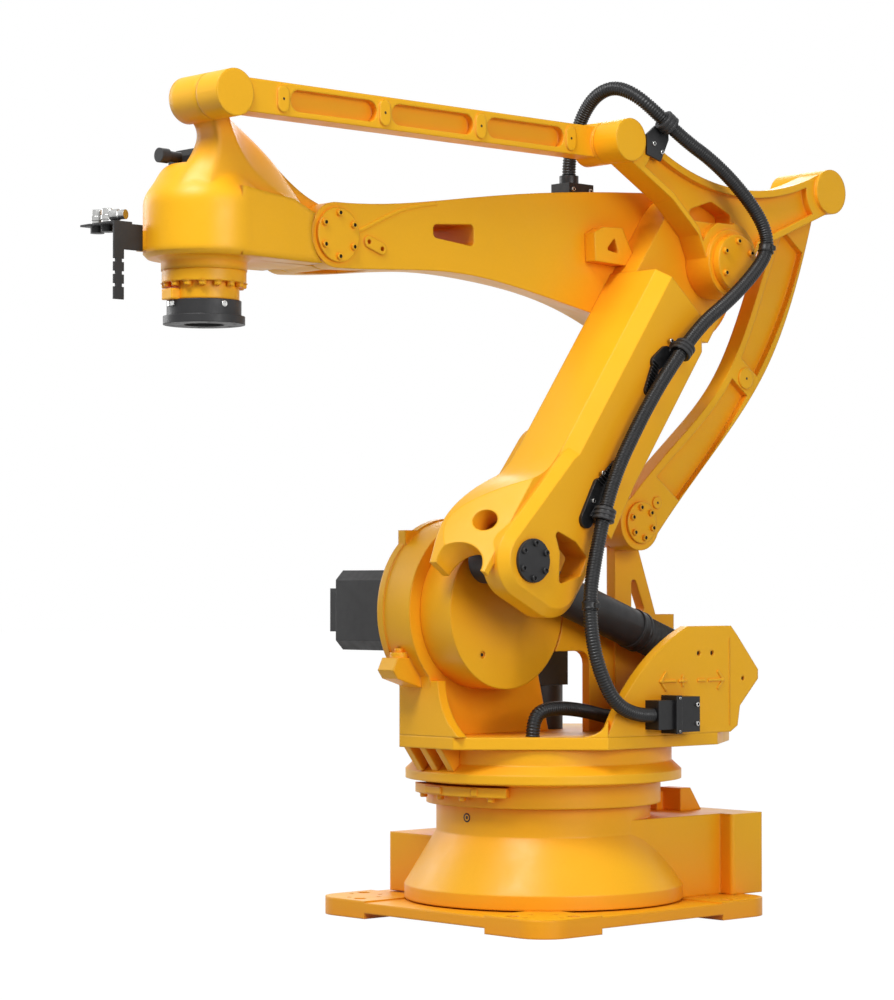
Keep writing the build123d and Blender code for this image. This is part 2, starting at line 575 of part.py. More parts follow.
def bell_crank():
    """Three-pin lever that keeps the wrist level, with a pocketed web and a kidney slot."""
    front = (LEVER_FRONT_X, LEVER_FRONT_Z)
    rear = (LEVER_REAR_X, LEVER_REAR_Z)
    hub = LEVER_HUB
    low, high = LEVER_RIGHT_Y, LEVER_LEFT_Y
    lever = slab(lever_outline(0), low, high - 10)
    bosses = disc(0, 0, hub, low, high)
    bosses += disc(*front, ROD_HUB, low, high) + disc(*rear, LEVER_REAR_HUB, low, high)
    pocket = lever_outline(LEVER_RIM) - Circle(hub + 24)
    for end, radius in ((front, ROD_HUB), (rear, LEVER_REAR_HUB)):
        pocket -= Pos(*end) * Circle(radius + 34)
    lever -= slab(pocket, high - 10 - POCKET_DEPTH, high)
    slot = link((-hub * 0.12, hub * 1.34, LEVER_SLOT), (hub * 0.55, hub * 1.56, LEVER_SLOT + 4),
                (hub * 1.3, hub * 1.36, LEVER_SLOT))
    lever -= slab(slot, low, high)
    return placed(lever + bosses, ELBOW_X, ELBOW_Z)


def elbow_cap():
    """Bolted cap on the elbow pin."""
    cap = disc(0, 0, ELBOW_CAP_RADIUS, LEVER_LEFT_Y, LEVER_LEFT_Y + ELBOW_CAP_THICKNESS)
    return placed(cap, ELBOW_X, ELBOW_Z)


def forearm_side(y, top_points, bottom_points):
    """One side outline of the forearm, in the plane at y."""
    top = Spline(*top_points)
    bottom = Spline(*bottom_points)
    close = Line(top @ 1, bottom @ 0).edges() + Line(bottom @ 1, top @ 0).edges()
    return Pos(0, y, 0) * (Plane.XZ * make_face(top.edges() + bottom.edges() + close))


def forearm():
    """Forearm casting with the elbow hub at one end and the wrist fork at the other."""
    length = FOREARM_LENGTH
    fork = FORK_RADIUS
    hub = FOREARM_HUB
    top = ((60, hub - 6), (length * 0.26, hub - 24), (length * 0.47, hub - 50), (length * 0.65, fork + 47),
           (length * 0.82, fork + 16), (length, fork))
    left_under = (
        (length, -fork), (length * 0.85, -fork + 8), (length * 0.68, -fork + 14), (length * 0.48, -fork - 16),
        (length * 0.29, -fork - 62), (130, -hub + 26))
    right_under = (
        (length, -fork), (length * 0.85, -fork + 14), (length * 0.68, -fork + 34),
        (length * 0.48, -fork + 26), (length * 0.29, -fork - 8), (130, -hub + 40))
    right = forearm_side(-FOREARM_HALF, top, right_under)
    left = forearm_side(FOREARM_HALF, top, left_under)
    beam = loft([right, left], ruled=True)
    beam += disc(0, 0, hub, -FOREARM_HALF, FOREARM_HALF)
    beam += disc(length, 0, fork, -FOREARM_HALF, FOREARM_HALF)
    beam -= block(length - FORK_DEPTH, length + 2 * fork, -FORK_HALF_GAP, FORK_HALF_GAP, -2 * fork, 2 * fork)
    far, near = length - 470, length - 327
    window = rounded(outline((far, 62), (far, 4), (near, 18), (near, 52)), 12)
    beam -= slab(window, -FOREARM_HALF, FOREARM_HALF)
    boss = link((length - 148, -25, 15), (length - 104, -10, 15))
    beam += slab(boss, FOREARM_HALF - 1, FOREARM_HALF + 5)
    for x, z in ((length - 148, -25), (length - 104, -10)):
        beam -= disc(x, z, 6, FOREARM_HALF - 14, FOREARM_HALF + 5)
    return placed(beam, ELBOW_X, ELBOW_Z, FOREARM_DROP)


def forearm_motor():
    """Elbow drive on the right side of the forearm."""
    face = -FOREARM_HALF
    gear = disc(0, 0, FOREARM_HUB - 70, face - 60, face)
    motor = slab(Pos(-50, 60) * chamfer(Rectangle(150, 150).vertices(), 20), face - 320, face - 60)
    return placed(gear + motor, ELBOW_X, ELBOW_Z, FOREARM_DROP)


def wrist_caps():
    """Bolted caps on both sides of the wrist fork."""
    caps = []
    for side in (-1, 1):
        low, high = sorted((side * FOREARM_HALF, side * (FOREARM_HALF + FORK_CAP_THICKNESS)))
        caps.append(disc(FOREARM_LENGTH, 0, FORK_CAP_RADIUS, low, high))
    return Compound(children=[placed(c, ELBOW_X, ELBOW_Z, FOREARM_DROP) for c in caps])


def upper_rod():
    """Straight rod over the forearm with three pockets and four bolt pads on each side."""
    length = FOREARM_LENGTH
    low, high = ROD_RIGHT_Y + 8, ROD_LEFT_Y - 8
    bar = slab(Pos(length / 2, 0) * Rectangle(length, ROD_HEIGHT), low, high)
    stops = [length * share for share in (0.105, 0.363, 0.622, 0.88)]
    for start, end in zip(stops, stops[1:]):
        width = end - start - ROD_PAD
        height = ROD_HEIGHT - 28
        pocket = Pos((start + end) / 2, 0) * SlotOverall(width, height)
        bar -= slab(pocket, low, low + POCKET_DEPTH) + slab(pocket, high - POCKET_DEPTH, high)
    for x in stops:
        pad = Pos(x, 0) * Rot(0, 0, 90) * SlotOverall(ROD_HEIGHT - 16, ROD_PAD - 14)
        bar += slab(pad, low - 4, high + 4)
    for x in (0, length):
        bar += disc(x, 0, ROD_HUB, ROD_RIGHT_Y, ROD_LEFT_Y)
    return placed(bar, ELBOW_X + LEVER_FRONT_X, ELBOW_Z + LEVER_FRONT_Z, FOREARM_DROP)


def head_fin(y, ridge_points, brow_points, foot_z):
    """One side outline of the head's fin, in the plane at y."""
    ridge = Spline(*ridge_points)
    brow = Spline(*brow_points)
    foot = Polyline(ridge @ 1, (ridge_points[-1][0], foot_z), (brow_points[0][0], foot_z), brow @ 0).edges()
    top = Line(brow @ 1, ridge @ 0).edges()
    return Pos(0, y, 0) * (Plane.XZ * make_face(ridge.edges() + foot + brow.edges() + top))


def wrist_head():
    """Wrist casting: domed body over the tool axis, boss in the fork and finned lug for the upper rod."""
    radius = HEAD_RADIUS
    fork = FORK_RADIUS
    inside = FORK_HALF_GAP - SEAM
    throat = HEAD_BOTTOM - HEAD_THROAT
    neck = NECK_RING_RADIUS
    dome = Spline((radius, HEAD_SHOULDER), (radius - 25, HEAD_SHOULDER + 56), (radius - 62, HEAD_TOP - 2),
                  tangents=((0, 1), (-1, 0.4)))
    rest = Polyline(
        (radius - 62, HEAD_TOP - 2), (0, HEAD_TOP + 14), (0, throat), (neck, throat), (neck, HEAD_BOTTOM - 8),
        (neck + 10, HEAD_BOTTOM), (radius - 10, HEAD_BOTTOM), (radius, HEAD_BOTTOM + 10),
        (radius, HEAD_SHOULDER))
    body = Pos(FLANGE_OFFSET, 0, 0) * revolve(Plane.XZ * make_face(dome.edges() + rest.edges()), Axis.Z)
    x, z = LEVER_FRONT_X, LEVER_FRONT_Z
    lug_y = ROD_RIGHT_Y - SEAM
    start = fork + HEAD_CLEAR
    wall = FOREARM_HALF
    plan = link((FLANGE_OFFSET, 0, radius - 1), (0, wall - 20, 20), (0, 20 - wall, 20))
    side = outline(
        (0, HEAD_BOTTOM + 2), (FLANGE_OFFSET, HEAD_BOTTOM + 1), (FLANGE_OFFSET, HEAD_SHOULDER + 40),
        (start + 60, HEAD_SHOULDER + 24), (start - 20, HEAD_SHOULDER - 6), (0, HEAD_SHOULDER - 20))
    shell = slab(side, -radius, radius) & (Pos(0, 0, HEAD_BOTTOM) * extrude(plan, 2 * radius))
    brow = (
        (x + 62, HEAD_SHOULDER - 10), (x + 40, HEAD_SHOULDER + 60), (x + 6, HEAD_TOP + 6), (x - 18, z - 94),
        (x + ROD_HUB - 10, z - 30))
    brow_left = (
        (x + 14, HEAD_SHOULDER - 10), (x - 4, HEAD_SHOULDER + 60), (x - 18, HEAD_TOP + 6), (x - 20, z - 90),
        (x + ROD_HUB - 14, z - 32))
    ridge = ((x - ROD_HUB + 2, z - 10), (207, z - 99), (144, z - 149), (start + 14, z - 190))
    ridge_left = (
        (x - ROD_HUB + 8, z - 14), (x - 78, z - 94), (x - 124, z - 158), (206, z - 203),
        (start + 20, z - 240))
    far, near = head_fin(inside, ridge, brow, 20), head_fin(wall, ridge_left, brow_left, 20)
    shell += loft([far, near], ruled=True) + extrude(far, inside - LUG_RIGHT_Y, dir=(0, -1, 0))
    body += shell - disc(0, 0, start, -2 * radius, 2 * radius)
    boss = outline(
        (0, -fork + 6), (FLANGE_OFFSET, HEAD_BOTTOM + 1), (FLANGE_OFFSET, HEAD_SHOULDER), (0, HEAD_SHOULDER))
    body += disc(0, 0, fork, -inside, inside) + slab(boss, -inside, inside)
    tail = Spline((-24, fork - 10), (15, fork - 2), (80, fork + 26), (144, z - 149))
    under = Polyline((144, z - 149), (144, 0), (-24, 0), (-24, fork - 10))
    body += slab(make_face(tail.edges() + under.edges()), LUG_RIGHT_Y, inside)
    body += disc(x, z, ROD_HUB, LUG_RIGHT_Y - 12, lug_y)
    pad_x = FLANGE_OFFSET + radius
    body += block(pad_x - 40, pad_x - 6, BRACKET_Y - 20, BRACKET_Y + 20, -62, -14)
    half = WRIST_MOTOR / 2 + FIT
    seat = block(FLANGE_OFFSET - half, FLANGE_OFFSET + half, WRIST_MOTOR_Y - half, WRIST_MOTOR_Y + half,
                 HEAD_SHOULDER + 26, z)
    return placed(body - seat, WRIST_X, WRIST_Z)


def wrist_motor():
    """Motor of the tool axis in the top of the head, with its side connector."""
    z = HEAD_SHOULDER + 26
    size = WRIST_MOTOR
    upright = (Align.CENTER, Align.CENTER, Align.MIN)
    body = Pos(FLANGE_OFFSET, WRIST_MOTOR_Y, z) * Box(size, size, 100, align=upright)
    body += Pos(FLANGE_OFFSET - 10, WRIST_MOTOR_Y, z + 100) * Box(size - 20, size - 8, 18, align=upright)
    reach = Pos(FLANGE_OFFSET + size / 2, WRIST_MOTOR_Y, z + 96) * Rot(0, 90, 0)
    plug = Cylinder(13, 64, align=upright) + Pos(0, 0, 38) * Cylinder(18, 26, align=upright)
    return placed(body + reach * plug, WRIST_X, WRIST_Z)


def bolt_ring():
    """Gearbox ring under the head: a band and the narrower drum that its bolts stand round."""
    x, y = WRIST_X + FLANGE_OFFSET, 0
    band = WRIST_Z + HEAD_BOTTOM - HEAD_THROAT - BAND_HEIGHT
    ring = post(x, y, BOLT_RING_RADIUS, band, band + BAND_HEIGHT)
    return ring + post(x, y, RING_DRUM_RADIUS, WRIST_Z + BOLT_RING_BOTTOM, band)


def sensor_bracket():
    """Sheet bracket on the front of the head: upright plate, notched strip and shelf with two connectors."""
    start = FLANGE_OFFSET + HEAD_RADIUS - 6
    sheet = BRACKET_SHEET
    end = start + 86
    y = BRACKET_Y
    plate = block(start, end, y, y + sheet, -63, 0)
    strip = block(end - 30, end, y, y + sheet, -184, -63)
    for z in (-150, -120, -90):
        strip -= block(end - 30, end - 24, y, y + sheet, z - 4, z + 4)
        strip -= block(end - 6, end, y, y + sheet, z - 4, z + 4)
    shelf = block(end - 54, end, y - 132, y + sheet, 0, sheet)
    for step in (-100, -58):
        shelf += post(end - 28, y + step, 14, sheet, 40) + post(end - 28, y + step, 17, -16, 0)
    return placed(plate + strip + shelf, WRIST_X, WRIST_Z)


def tool_flange():
    """Black output flange with pilot bore and bolt circle."""
    top = BOLT_RING_BOTTOM - SEAM
    profile = outline(
        (0, top), (FLANGE_BODY_RADIUS, top), (FLANGE_BODY_RADIUS, FLANGE_LIP_TOP),
        (FLANGE_LIP_RADIUS, FLANGE_LIP_TOP), (FLANGE_LIP_RADIUS, FLANGE_FACE),
        (FLANGE_PILOT_RADIUS, FLANGE_FACE),
        (FLANGE_PILOT_RADIUS, FLANGE_FACE + FLANGE_PILOT_DEPTH), (0, FLANGE_FACE + FLANGE_PILOT_DEPTH))
    flange = revolve(Plane.XZ * profile, Axis.Z)
    for i in range(FLANGE_BOLT_COUNT):
        turn = 2 * math.pi * i / FLANGE_BOLT_COUNT
        x, y = FLANGE_BOLT_CIRCLE / 2 * math.cos(turn), FLANGE_BOLT_CIRCLE / 2 * math.sin(turn)
        flange -= post(x, y, FLANGE_BOLT_RADIUS, FLANGE_FACE, FLANGE_FACE + 18)
    return placed(flange, WRIST_X + FLANGE_OFFSET, WRIST_Z)


def arm_point(x, y, z):
    """A point given on the upright lower arm, at its place in the rest pose."""
    return Vector(SHOULDER_X + x * math.cos(lean) - z * math.sin(lean), y,
                  SHOULDER_Z + x * math.sin(lean) + z * math.cos(lean))


def elbow_point(x, y, z):
    """A point given from the elbow pin."""
    return Vector(ELBOW_X + x, y, ELBOW_Z + z)


def hose_route():
    """Corners of the hose from the connector block over the arm and the lever to the forearm."""
    y = BEAM_LEFT_Y + HOSE_STAND
    top = LOWER_ARM_LENGTH
    start = Vector(HOSE_BLOCK_X, PANEL_LEFT_Y + HOSE_BLOCK_DEPTH / 2 - 4, HOSE_BLOCK_Z)
    return [
        start, start + Vector(112, 0, 0), start + Vector(200, -6, 124), start + Vector(220, -17, 284),
        arm_point(21, y + 3, 180), arm_point(77, y, 364), arm_point(85, y, 556), arm_point(79, y, top - 457),
        arm_point(52, y + 3, top - 264), elbow_point(88, y + 13, -110), elbow_point(-15, y + 19, -22),
        elbow_point(-62, y + 19, 38), elbow_point(-49, y + 15, 105), elbow_point(22, y + 3, 186),
        elbow_point(126, y - 11, 263), elbow_point(227, y - 28, 314), elbow_point(336, y - 50, 394),
        elbow_point(368, y - 86, 422), elbow_point(382, y - 140, 432), elbow_point(388, y - 198, 417),
        elbow_point(384, y - 248, 376), elbow_point(380, y - 283, 325), elbow_point(386, y - 303, 278),
        elbow_point(386, y - 303, 228)]


def run_middle(index):
    """Middle of one run of the hose and the direction of that run."""
    route = hose_route()
    here, there = route[index], route[index + 1]
    return (here + there) / 2, (there - here).normalized()


def hose_span(first, last):
    """The hose from the middle of run `first` (or the start) to the middle of run `last` (or the end)."""
    route = hose_route()
    corners = route[first + 1:last + 1]
    begin, way = run_middle(first)
    points = [begin + way * FIT] if first else [route[0]]
    points += corners
    points += [run_middle(last)[0]] if last < len(route) - 2 else [route[-1]]
    return hose_tube(points)


def hose_tube(points):
    """A hose along straight runs joined by tangent arcs."""
    radii = []
    for before, corner, after in zip(points, points[1:], points[2:]):
        turn = math.radians((corner - before).get_angle(after - corner))
        run = min((corner - before).length, (after - corner).length)
        radii.append(0.45 * run / math.tan(turn / 2))
    path = FilletPolyline(*points, radius=radii)
    tube = sweep(Plane(path @ 0, z_dir=path % 0) * Circle(HOSE_RADIUS), path=path)
    section = math.pi * HOSE_RADIUS ** 2
    print("hose radii", [round(r) for r in radii], "length", round(path.length),
          "volume share", round(tube.volume / section / path.length, 4))
    return tube


def hose_ring(index):
    """Clamp ring round the middle of one run of the hose."""
    middle, way = run_middle(index)
    ring = Cylinder(HOSE_RADIUS + 8, CLAMP_LENGTH) - Cylinder(HOSE_RADIUS + FIT, CLAMP_LENGTH)
    return Plane(middle, z_dir=way) * ring


def hose_clamps():
    """Two hose clamps on the left face of the lower arm, each with its serrated strip."""
    clamps = []
    for run, strip in ((CLAMP_RUN_LOW, 1), (CLAMP_RUN_HIGH, -1)):
        middle, way = run_middle(run)
        back = Vector(middle.X - SHOULDER_X, 0, middle.Z - SHOULDER_Z)
        x = back.X * math.cos(lean) + back.Z * math.sin(lean)
        z = back.Z * math.cos(lean) - back.X * math.sin(lean)
        plate = link((x + 20, z - 30, 22), (x + 34, z + 70 * strip, 20)) + link(
            (x + 34, z + 70 * strip, 13), (x + 16, z + 150 * strip, 13))
        foot = slab(plate, BEAM_LEFT_Y, BEAM_LEFT_Y + 10)
        foot += block(x - 18, x + 18, BEAM_LEFT_Y, middle.Y - HOSE_RADIUS - 3, z - 17, z + 17)
        clamps.append(placed(foot, SHOULDER_X, SHOULDER_Z, -LOWER_ARM_LEAN) + hose_ring(run))
    return Compound(children=clamps)


def lever_bracket():
    """Sheet bracket on the lever that holds the hose ahead of the front pin."""
    face = LEVER_LEFT_Y - 10
    x = LEVER_FRONT_X - ROD_HUB - 8
    z = LEVER_FRONT_Z
    sheet = outline(
        (x, z - 32), (x, z + 22), (x - 34, z + 48), (x - 84, z + 62), (x - 84, z + 14), (x - 54, z - 46))
    return placed(slab(sheet, face, face + 7), ELBOW_X, ELBOW_Z) + hose_ring(CLAMP_RUN_LEVER)


def hose_socket():
    """Socket on top of the forearm where the hose ends."""
    end = hose_route()[-1]
    top = end.Z
    box = block(end.X - 60, end.X + 34, end.Y - 34, end.Y + 34, top - 90, top - 22)
    neck = post(end.X, end.Y, HOSE_RADIUS + 7, top - 22, top)
    return box + neck - forearm()


def hose_lower():
    """Hose from the connector block to the lower clamp."""
    return hose_span(0, CLAMP_RUN_LOW)


def hose_arm():
    """Hose between the two clamps of the lower arm."""
    return hose_span(CLAMP_RUN_LOW, CLAMP_RUN_HIGH)


def hose_elbow():
    """Hose from the upper clamp round the elbow to the lever bracket."""
    return hose_span(CLAMP_RUN_HIGH, CLAMP_RUN_LEVER)


def hose_upper():
    """Hose from the lever bracket over the pin to the forearm."""
    return hose_span(CLAMP_RUN_LEVER, len(hose_route()) - 2)


def floor_box():
    """Junction box on the floor of the carousel, behind the arm."""
    start, end = FLOOR_BOX_X - FLOOR_BOX, FLOOR_BOX_X
    half = FLOOR_BOX / 2
    box = block(start, end, FLOOR_HOSE_Y - half, FLOOR_HOSE_Y + half, FLOOR_TOP, FLOOR_TOP + FLOOR_BOX)
    return chamfer(box.edges().filter_by(Axis.Z), FLOOR_BOX / 10)


def floor_hose():
    """Hose from the floor of the carousel to the junction box."""
    y, z = FLOOR_HOSE_Y, FLOOR_TOP
    level = z + FLOOR_BOX / 2
    return hose_tube([
        Vector(236, y, z), Vector(236, y, z + 52), Vector(176, y, z + 74), Vector(60, y, z + 66),
        Vector(FLOOR_BOX_X + 118, y, level), Vector(FLOOR_BOX_X, y, level)])


NODES = (
    base_plate, base_pedestal, rear_connectors, swing_stop, slewing_ring, carousel_floor, shoulder_housing,
    shoulder_motor, side_panel, link_tower, balancer_anchor, slew_motor, hose_block, turret_stop, lower_arm,
    elbow_stop, hose_clamps, balancer_pin, balancer_barrel, balancer_boot, balancer_rod, rear_rod,
    rear_rod_cap, bell_crank, elbow_cap, lever_bracket, forearm, forearm_motor, hose_socket, wrist_caps,
    upper_rod, wrist_head, wrist_motor, bolt_ring, sensor_bracket, tool_flange, hose_lower, hose_arm,
    hose_elbow, hose_upper, floor_box, floor_hose)

os.makedirs("parts", exist_ok=True)
for make in NODES:
    export_step(make(), f"parts/{make.__name__}.step")
print("elbow", round(ELBOW_X, 2), round(ELBOW_Z, 2), "wrist", round(WRIST_X, 2), round(WRIST_Z, 2))
print("foot pin", FOOT_PIN_X, FOOT_PIN_Z, "balancer pin", round(PIN_WORLD_X, 2), round(PIN_WORLD_Z, 2))
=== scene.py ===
"""Looks of the palletising arm: paint, hoses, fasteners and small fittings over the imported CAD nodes."""

import math

import bmesh
import bpy
from bpy.props import FloatProperty, FloatVectorProperty, IntProperty, PointerProperty
from mathutils import Matrix, Vector


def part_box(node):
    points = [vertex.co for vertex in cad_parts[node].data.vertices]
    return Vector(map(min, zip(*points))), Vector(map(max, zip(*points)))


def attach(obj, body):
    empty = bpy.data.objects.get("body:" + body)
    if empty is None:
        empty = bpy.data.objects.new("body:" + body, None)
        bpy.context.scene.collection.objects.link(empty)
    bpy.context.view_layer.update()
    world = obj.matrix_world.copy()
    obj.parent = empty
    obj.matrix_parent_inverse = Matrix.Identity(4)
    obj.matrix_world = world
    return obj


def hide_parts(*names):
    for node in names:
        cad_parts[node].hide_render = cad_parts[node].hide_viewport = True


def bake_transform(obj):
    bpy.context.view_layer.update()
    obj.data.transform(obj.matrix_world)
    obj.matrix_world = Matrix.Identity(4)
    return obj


bl_info = {
    "name": "Palletising arm looks",
    "version": (1, 0, 0),
    "blender": (4, 5, 0),
    "location": "3D View > Sidebar > Arm",
    "description": "Paint, hoses, fasteners and stage of a four-axis palletising arm",
    "category": "Object",
}

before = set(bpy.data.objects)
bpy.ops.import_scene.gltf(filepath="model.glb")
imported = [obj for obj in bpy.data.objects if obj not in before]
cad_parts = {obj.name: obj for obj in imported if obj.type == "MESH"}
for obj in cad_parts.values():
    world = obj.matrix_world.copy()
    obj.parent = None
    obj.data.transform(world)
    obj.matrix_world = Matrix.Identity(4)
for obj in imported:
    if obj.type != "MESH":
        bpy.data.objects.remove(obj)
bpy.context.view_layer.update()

# Photograph: the camera stands level with the shoulder, ahead of the arm and on its left
IMAGE_HEIGHT = 1000.0
FOCAL_PIXELS = 2950.0
AXIS_OFFSET = 96.0          # slewing axis right of the middle, in pixels
HORIZON_OFFSET = 85.0       # horizon below the middle, in pixels
SENSOR = 36.0
CAMERA_PLACE = (5.632, 5.632, 0.8832)

# Studio: soft lamps as name, place, aim, size and power, and the pale surroundings
LAMPS = (
    ("key", (4.2, 1.2, 6.2), (0.0, 0.0, 1.2), 2.6, 425.0),
    ("side", (1.2, 6.2, 2.6), (-0.1, 0.2, 1.2), 3.0, 200.0),
    ("back", (-4.5, -4.0, 4.6), (0.0, 0.0, 1.0), 3.0, 130.0),
    ("right", (1.8, -6.0, 2.8), (0.0, -0.2, 1.2), 3.0, 130.0),
)
AMBIENT = (1.0, 0.95, 0.90, 1.0)
AMBIENT_STRENGTH = 0.17
FLOOR_HALF = 40.0
FLOOR_GREYS = ((0.40, 0.40, 0.40), (0.42, 0.42, 0.42))
FLOOR_GLOW = 1.06
FLOOR_GLOW_SHARE = 0.94     # the rest shows the shadow

# Pins of the linkage, from the frame
SHOULDER = Vector((0.248, 0.0, 0.815))
LEAN = math.radians(36.0)
ELBOW = Vector((-0.43971, 0.0, 1.76155))

# Upper rod, from its rear pin, and the pads of the rear rod as (x, z)
UPPER_ROD_PIN = Vector((-0.0397, 0.0, 2.0616))
UPPER_ROD_LENGTH = 1.275
ROD_DROP = math.radians(0.4)
ROD_PAD_SHARES = (0.105, 0.363, 0.622, 0.88)
REAR_PADS = ((-0.609, 1.4600), (-0.243, 1.1055))

ORIGIN = Vector((0, 0, 0))
LEFT = Vector((0, 1, 0))
RIGHT = Vector((0, -1, 0))
UP = Vector((0, 0, 1))
DOWN = Vector((0, 0, -1))


def arm_point(x, y, z):
    """A point given on the upright lower arm, at its place in the rest pose."""
    ahead = x * math.cos(LEAN) - z * math.sin(LEAN)
    up = x * math.sin(LEAN) + z * math.cos(LEAN)
    return SHOULDER + Vector((ahead, y, up))


def elbow_point(x, y, z):
    """A point given from the elbow pin."""
    return ELBOW + Vector((x, y, z))


# Corners of the hose from the connector block over the arm and the lever to the forearm
HOSE_ROUTE = [
    Vector((-0.008, 0.392, 0.545)), Vector((0.104, 0.392, 0.545)), Vector((0.192, 0.386, 0.669)),
    Vector((0.212, 0.375, 0.829)), arm_point(0.021, 0.353, 0.180), arm_point(0.077, 0.350, 0.364),
    arm_point(0.085, 0.350, 0.556), arm_point(0.079, 0.350, 0.713), arm_point(0.052, 0.353, 0.906),
    elbow_point(0.088, 0.363, -0.110), elbow_point(-0.015, 0.369, -0.022), elbow_point(-0.062, 0.369, 0.038),
    elbow_point(-0.049, 0.365, 0.105), elbow_point(0.022, 0.353, 0.186), elbow_point(0.126, 0.339, 0.263),
    elbow_point(0.227, 0.322, 0.314), elbow_point(0.336, 0.300, 0.394), elbow_point(0.368, 0.264, 0.432),
    elbow_point(0.382, 0.210, 0.452), elbow_point(0.388, 0.152, 0.437), elbow_point(0.384, 0.102, 0.396),
    elbow_point(0.380, 0.067, 0.337), elbow_point(0.386, 0.047, 0.278), elbow_point(0.386, 0.047, 0.228),
]
CLAMP_RUNS = (4, 7, 15)     # runs of the route that the clamps hold
CLIP_CORNERS = {"hose_lower": 3, "hose_elbow": 11}      # corners of the route that carry a clip
FLOOR_ROUTE = [             # hose on the floor of the turning part, from the floor to its junction box
    Vector((0.236, 0.198, 0.490)), Vector((0.236, 0.198, 0.542)), Vector((0.176, 0.198, 0.564)),
    Vector((0.060, 0.198, 0.556)), Vector((-0.072, 0.198, 0.527)), Vector((-0.190, 0.198, 0.527)),
]
HOSE_BODIES = (
    ("hose_lower", "carousel", "lower_arm"), ("hose_arm", "lower_arm", "lower_arm"),
    ("hose_elbow", "lower_arm", "level_lever"), ("hose_upper", "level_lever", "forearm"),
    ("floor_hose", "carousel", "carousel"),
)


def colour(name, description, default):
    """A colour in the settings."""
    return FloatVectorProperty(name=name, description=description, subtype="COLOR", size=3, default=default)


def length(name, description, default):
    """A length in the settings."""
    return FloatProperty(
        name=name, description=description, subtype="DISTANCE", unit="LENGTH", default=default)


class PaintSettings(bpy.types.PropertyGroup):
    """Colours and surface of the finishes."""

    yellow: colour("Yellow", "Paint on the castings", (0.80, 0.405, 0.008))
    black: colour("Black", "Paint on the motors, cylinder and flange", (0.017, 0.017, 0.018))
    plastic: colour("Plastic", "Hose and connector blocks", (0.0055, 0.0055, 0.006))
    rubber: colour("Rubber", "Pleated boot", (0.018, 0.018, 0.018))
    steel: colour("Steel", "Bright fasteners and connectors", (0.50, 0.50, 0.49))
    # Painted shade: the deeper orange that hollows take, standing in for shade and for light the yellow
    # bounces into them
    painted_shade: colour("Deep yellow", "Paint in hollows, where it lights itself", (0.80, 0.215, 0.005))
    edge: length("Cast edge", "Radius that softens the edges of a casting", 0.007)
    flow: length("Flowing edge", "Radius that softens the edges of the wrist head", 0.028)
    # Reach of the painted shade round a hollow
    hollow: length("Hollow", "Reach of the deeper colour round a hollow", 0.22)


class HoseSettings(bpy.types.PropertyGroup):
    """Corrugated hose."""

    radius: length("Radius", "Outside radius of the hose", 0.019)
    pitch: length("Rib pitch", "Distance from rib to rib", 0.0074)
    depth: length("Rib depth", "Depth of the grooves", 0.0024)
    sides: IntProperty(name="Sides", description="Faces round the hose", default=22, min=8)


class FastenerSettings(bpy.types.PropertyGroup):
    """Screws and bolts."""

    cap_screw: length("Cap screw", "Head radius of the screws in the pin caps", 0.0085)
    small_screw: length("Small screw", "Head radius of the screws in clamps and blocks", 0.0062)
    hex_bolt: length("Hex bolt", "Head radius of the bolts under the wrist", 0.010)


def settings():
    """The sizes and colours of this scene."""
    return bpy.context.scene.arm_paint, bpy.context.scene.arm_hose, bpy.context.scene.arm_fasteners


def node(tree, kind, **values):
    """A new node with its properties set."""
    made = tree.nodes.new(kind)
    for name, value in values.items():
        setattr(made, name, value)
    return made


def finish_base(name):
    """A new material with its shader and object coordinates."""
    material = bpy.data.materials.new(name)
    material.use_nodes = True
    tree = material.node_tree
    shader = tree.nodes["Principled BSDF"]
    place = node(tree, "ShaderNodeTexCoord").outputs["Object"]
    return material, tree, shader, place


def noise(tree, place, scale, detail):
    """Noise of one scale over the object."""
    made = node(tree, "ShaderNodeTexNoise")
    made.inputs["Scale"].default_value = scale
    made.inputs["Detail"].default_value = detail
    tree.links.new(place, made.inputs["Vector"])
    return made.outputs["Fac"]


def spread(tree, value, low, high):
    """A value from 0.3 to 0.7 carried to a range from low to high."""
    made = node(tree, "ShaderNodeMapRange")
    made.inputs["From Min"].default_value = 0.3
    made.inputs["From Max"].default_value = 0.7
    made.inputs["To Min"].default_value = low
    made.inputs["To Max"].default_value = high
    tree.links.new(value, made.inputs["Value"])
    return made.outputs["Result"]


def mixed(tree, share, first, second):
    """Two colours mixed by a share."""
    made = node(tree, "ShaderNodeMix", data_type="RGBA")
    for index, value in ((6, first), (7, second)):
        if isinstance(value, bpy.types.NodeSocket):
            tree.links.new(value, made.inputs[index])
        else:
            made.inputs[index].default_value = (*value, 1.0)
    tree.links.new(share, made.inputs["Factor"])
    return made.outputs[2]


def shade(colour, factor):
    """A colour made darker or lighter."""
    return tuple(min(1.0, part * factor) for part in colour)


def grain(tree, shader, height, distance, strength, edge):
    """Surface relief over softened edges."""
    bump = node(tree, "ShaderNodeBump")
    bump.inputs["Strength"].default_value = strength
    bump.inputs["Distance"].default_value = distance
    tree.links.new(height, bump.inputs["Height"])
    if edge:
        soft = node(tree, "ShaderNodeBevel", samples=6)
        soft.inputs["Radius"].default_value = edge
        tree.links.new(soft.outputs["Normal"], bump.inputs["Normal"])
    tree.links.new(bump.outputs["Normal"], shader.inputs["Normal"])


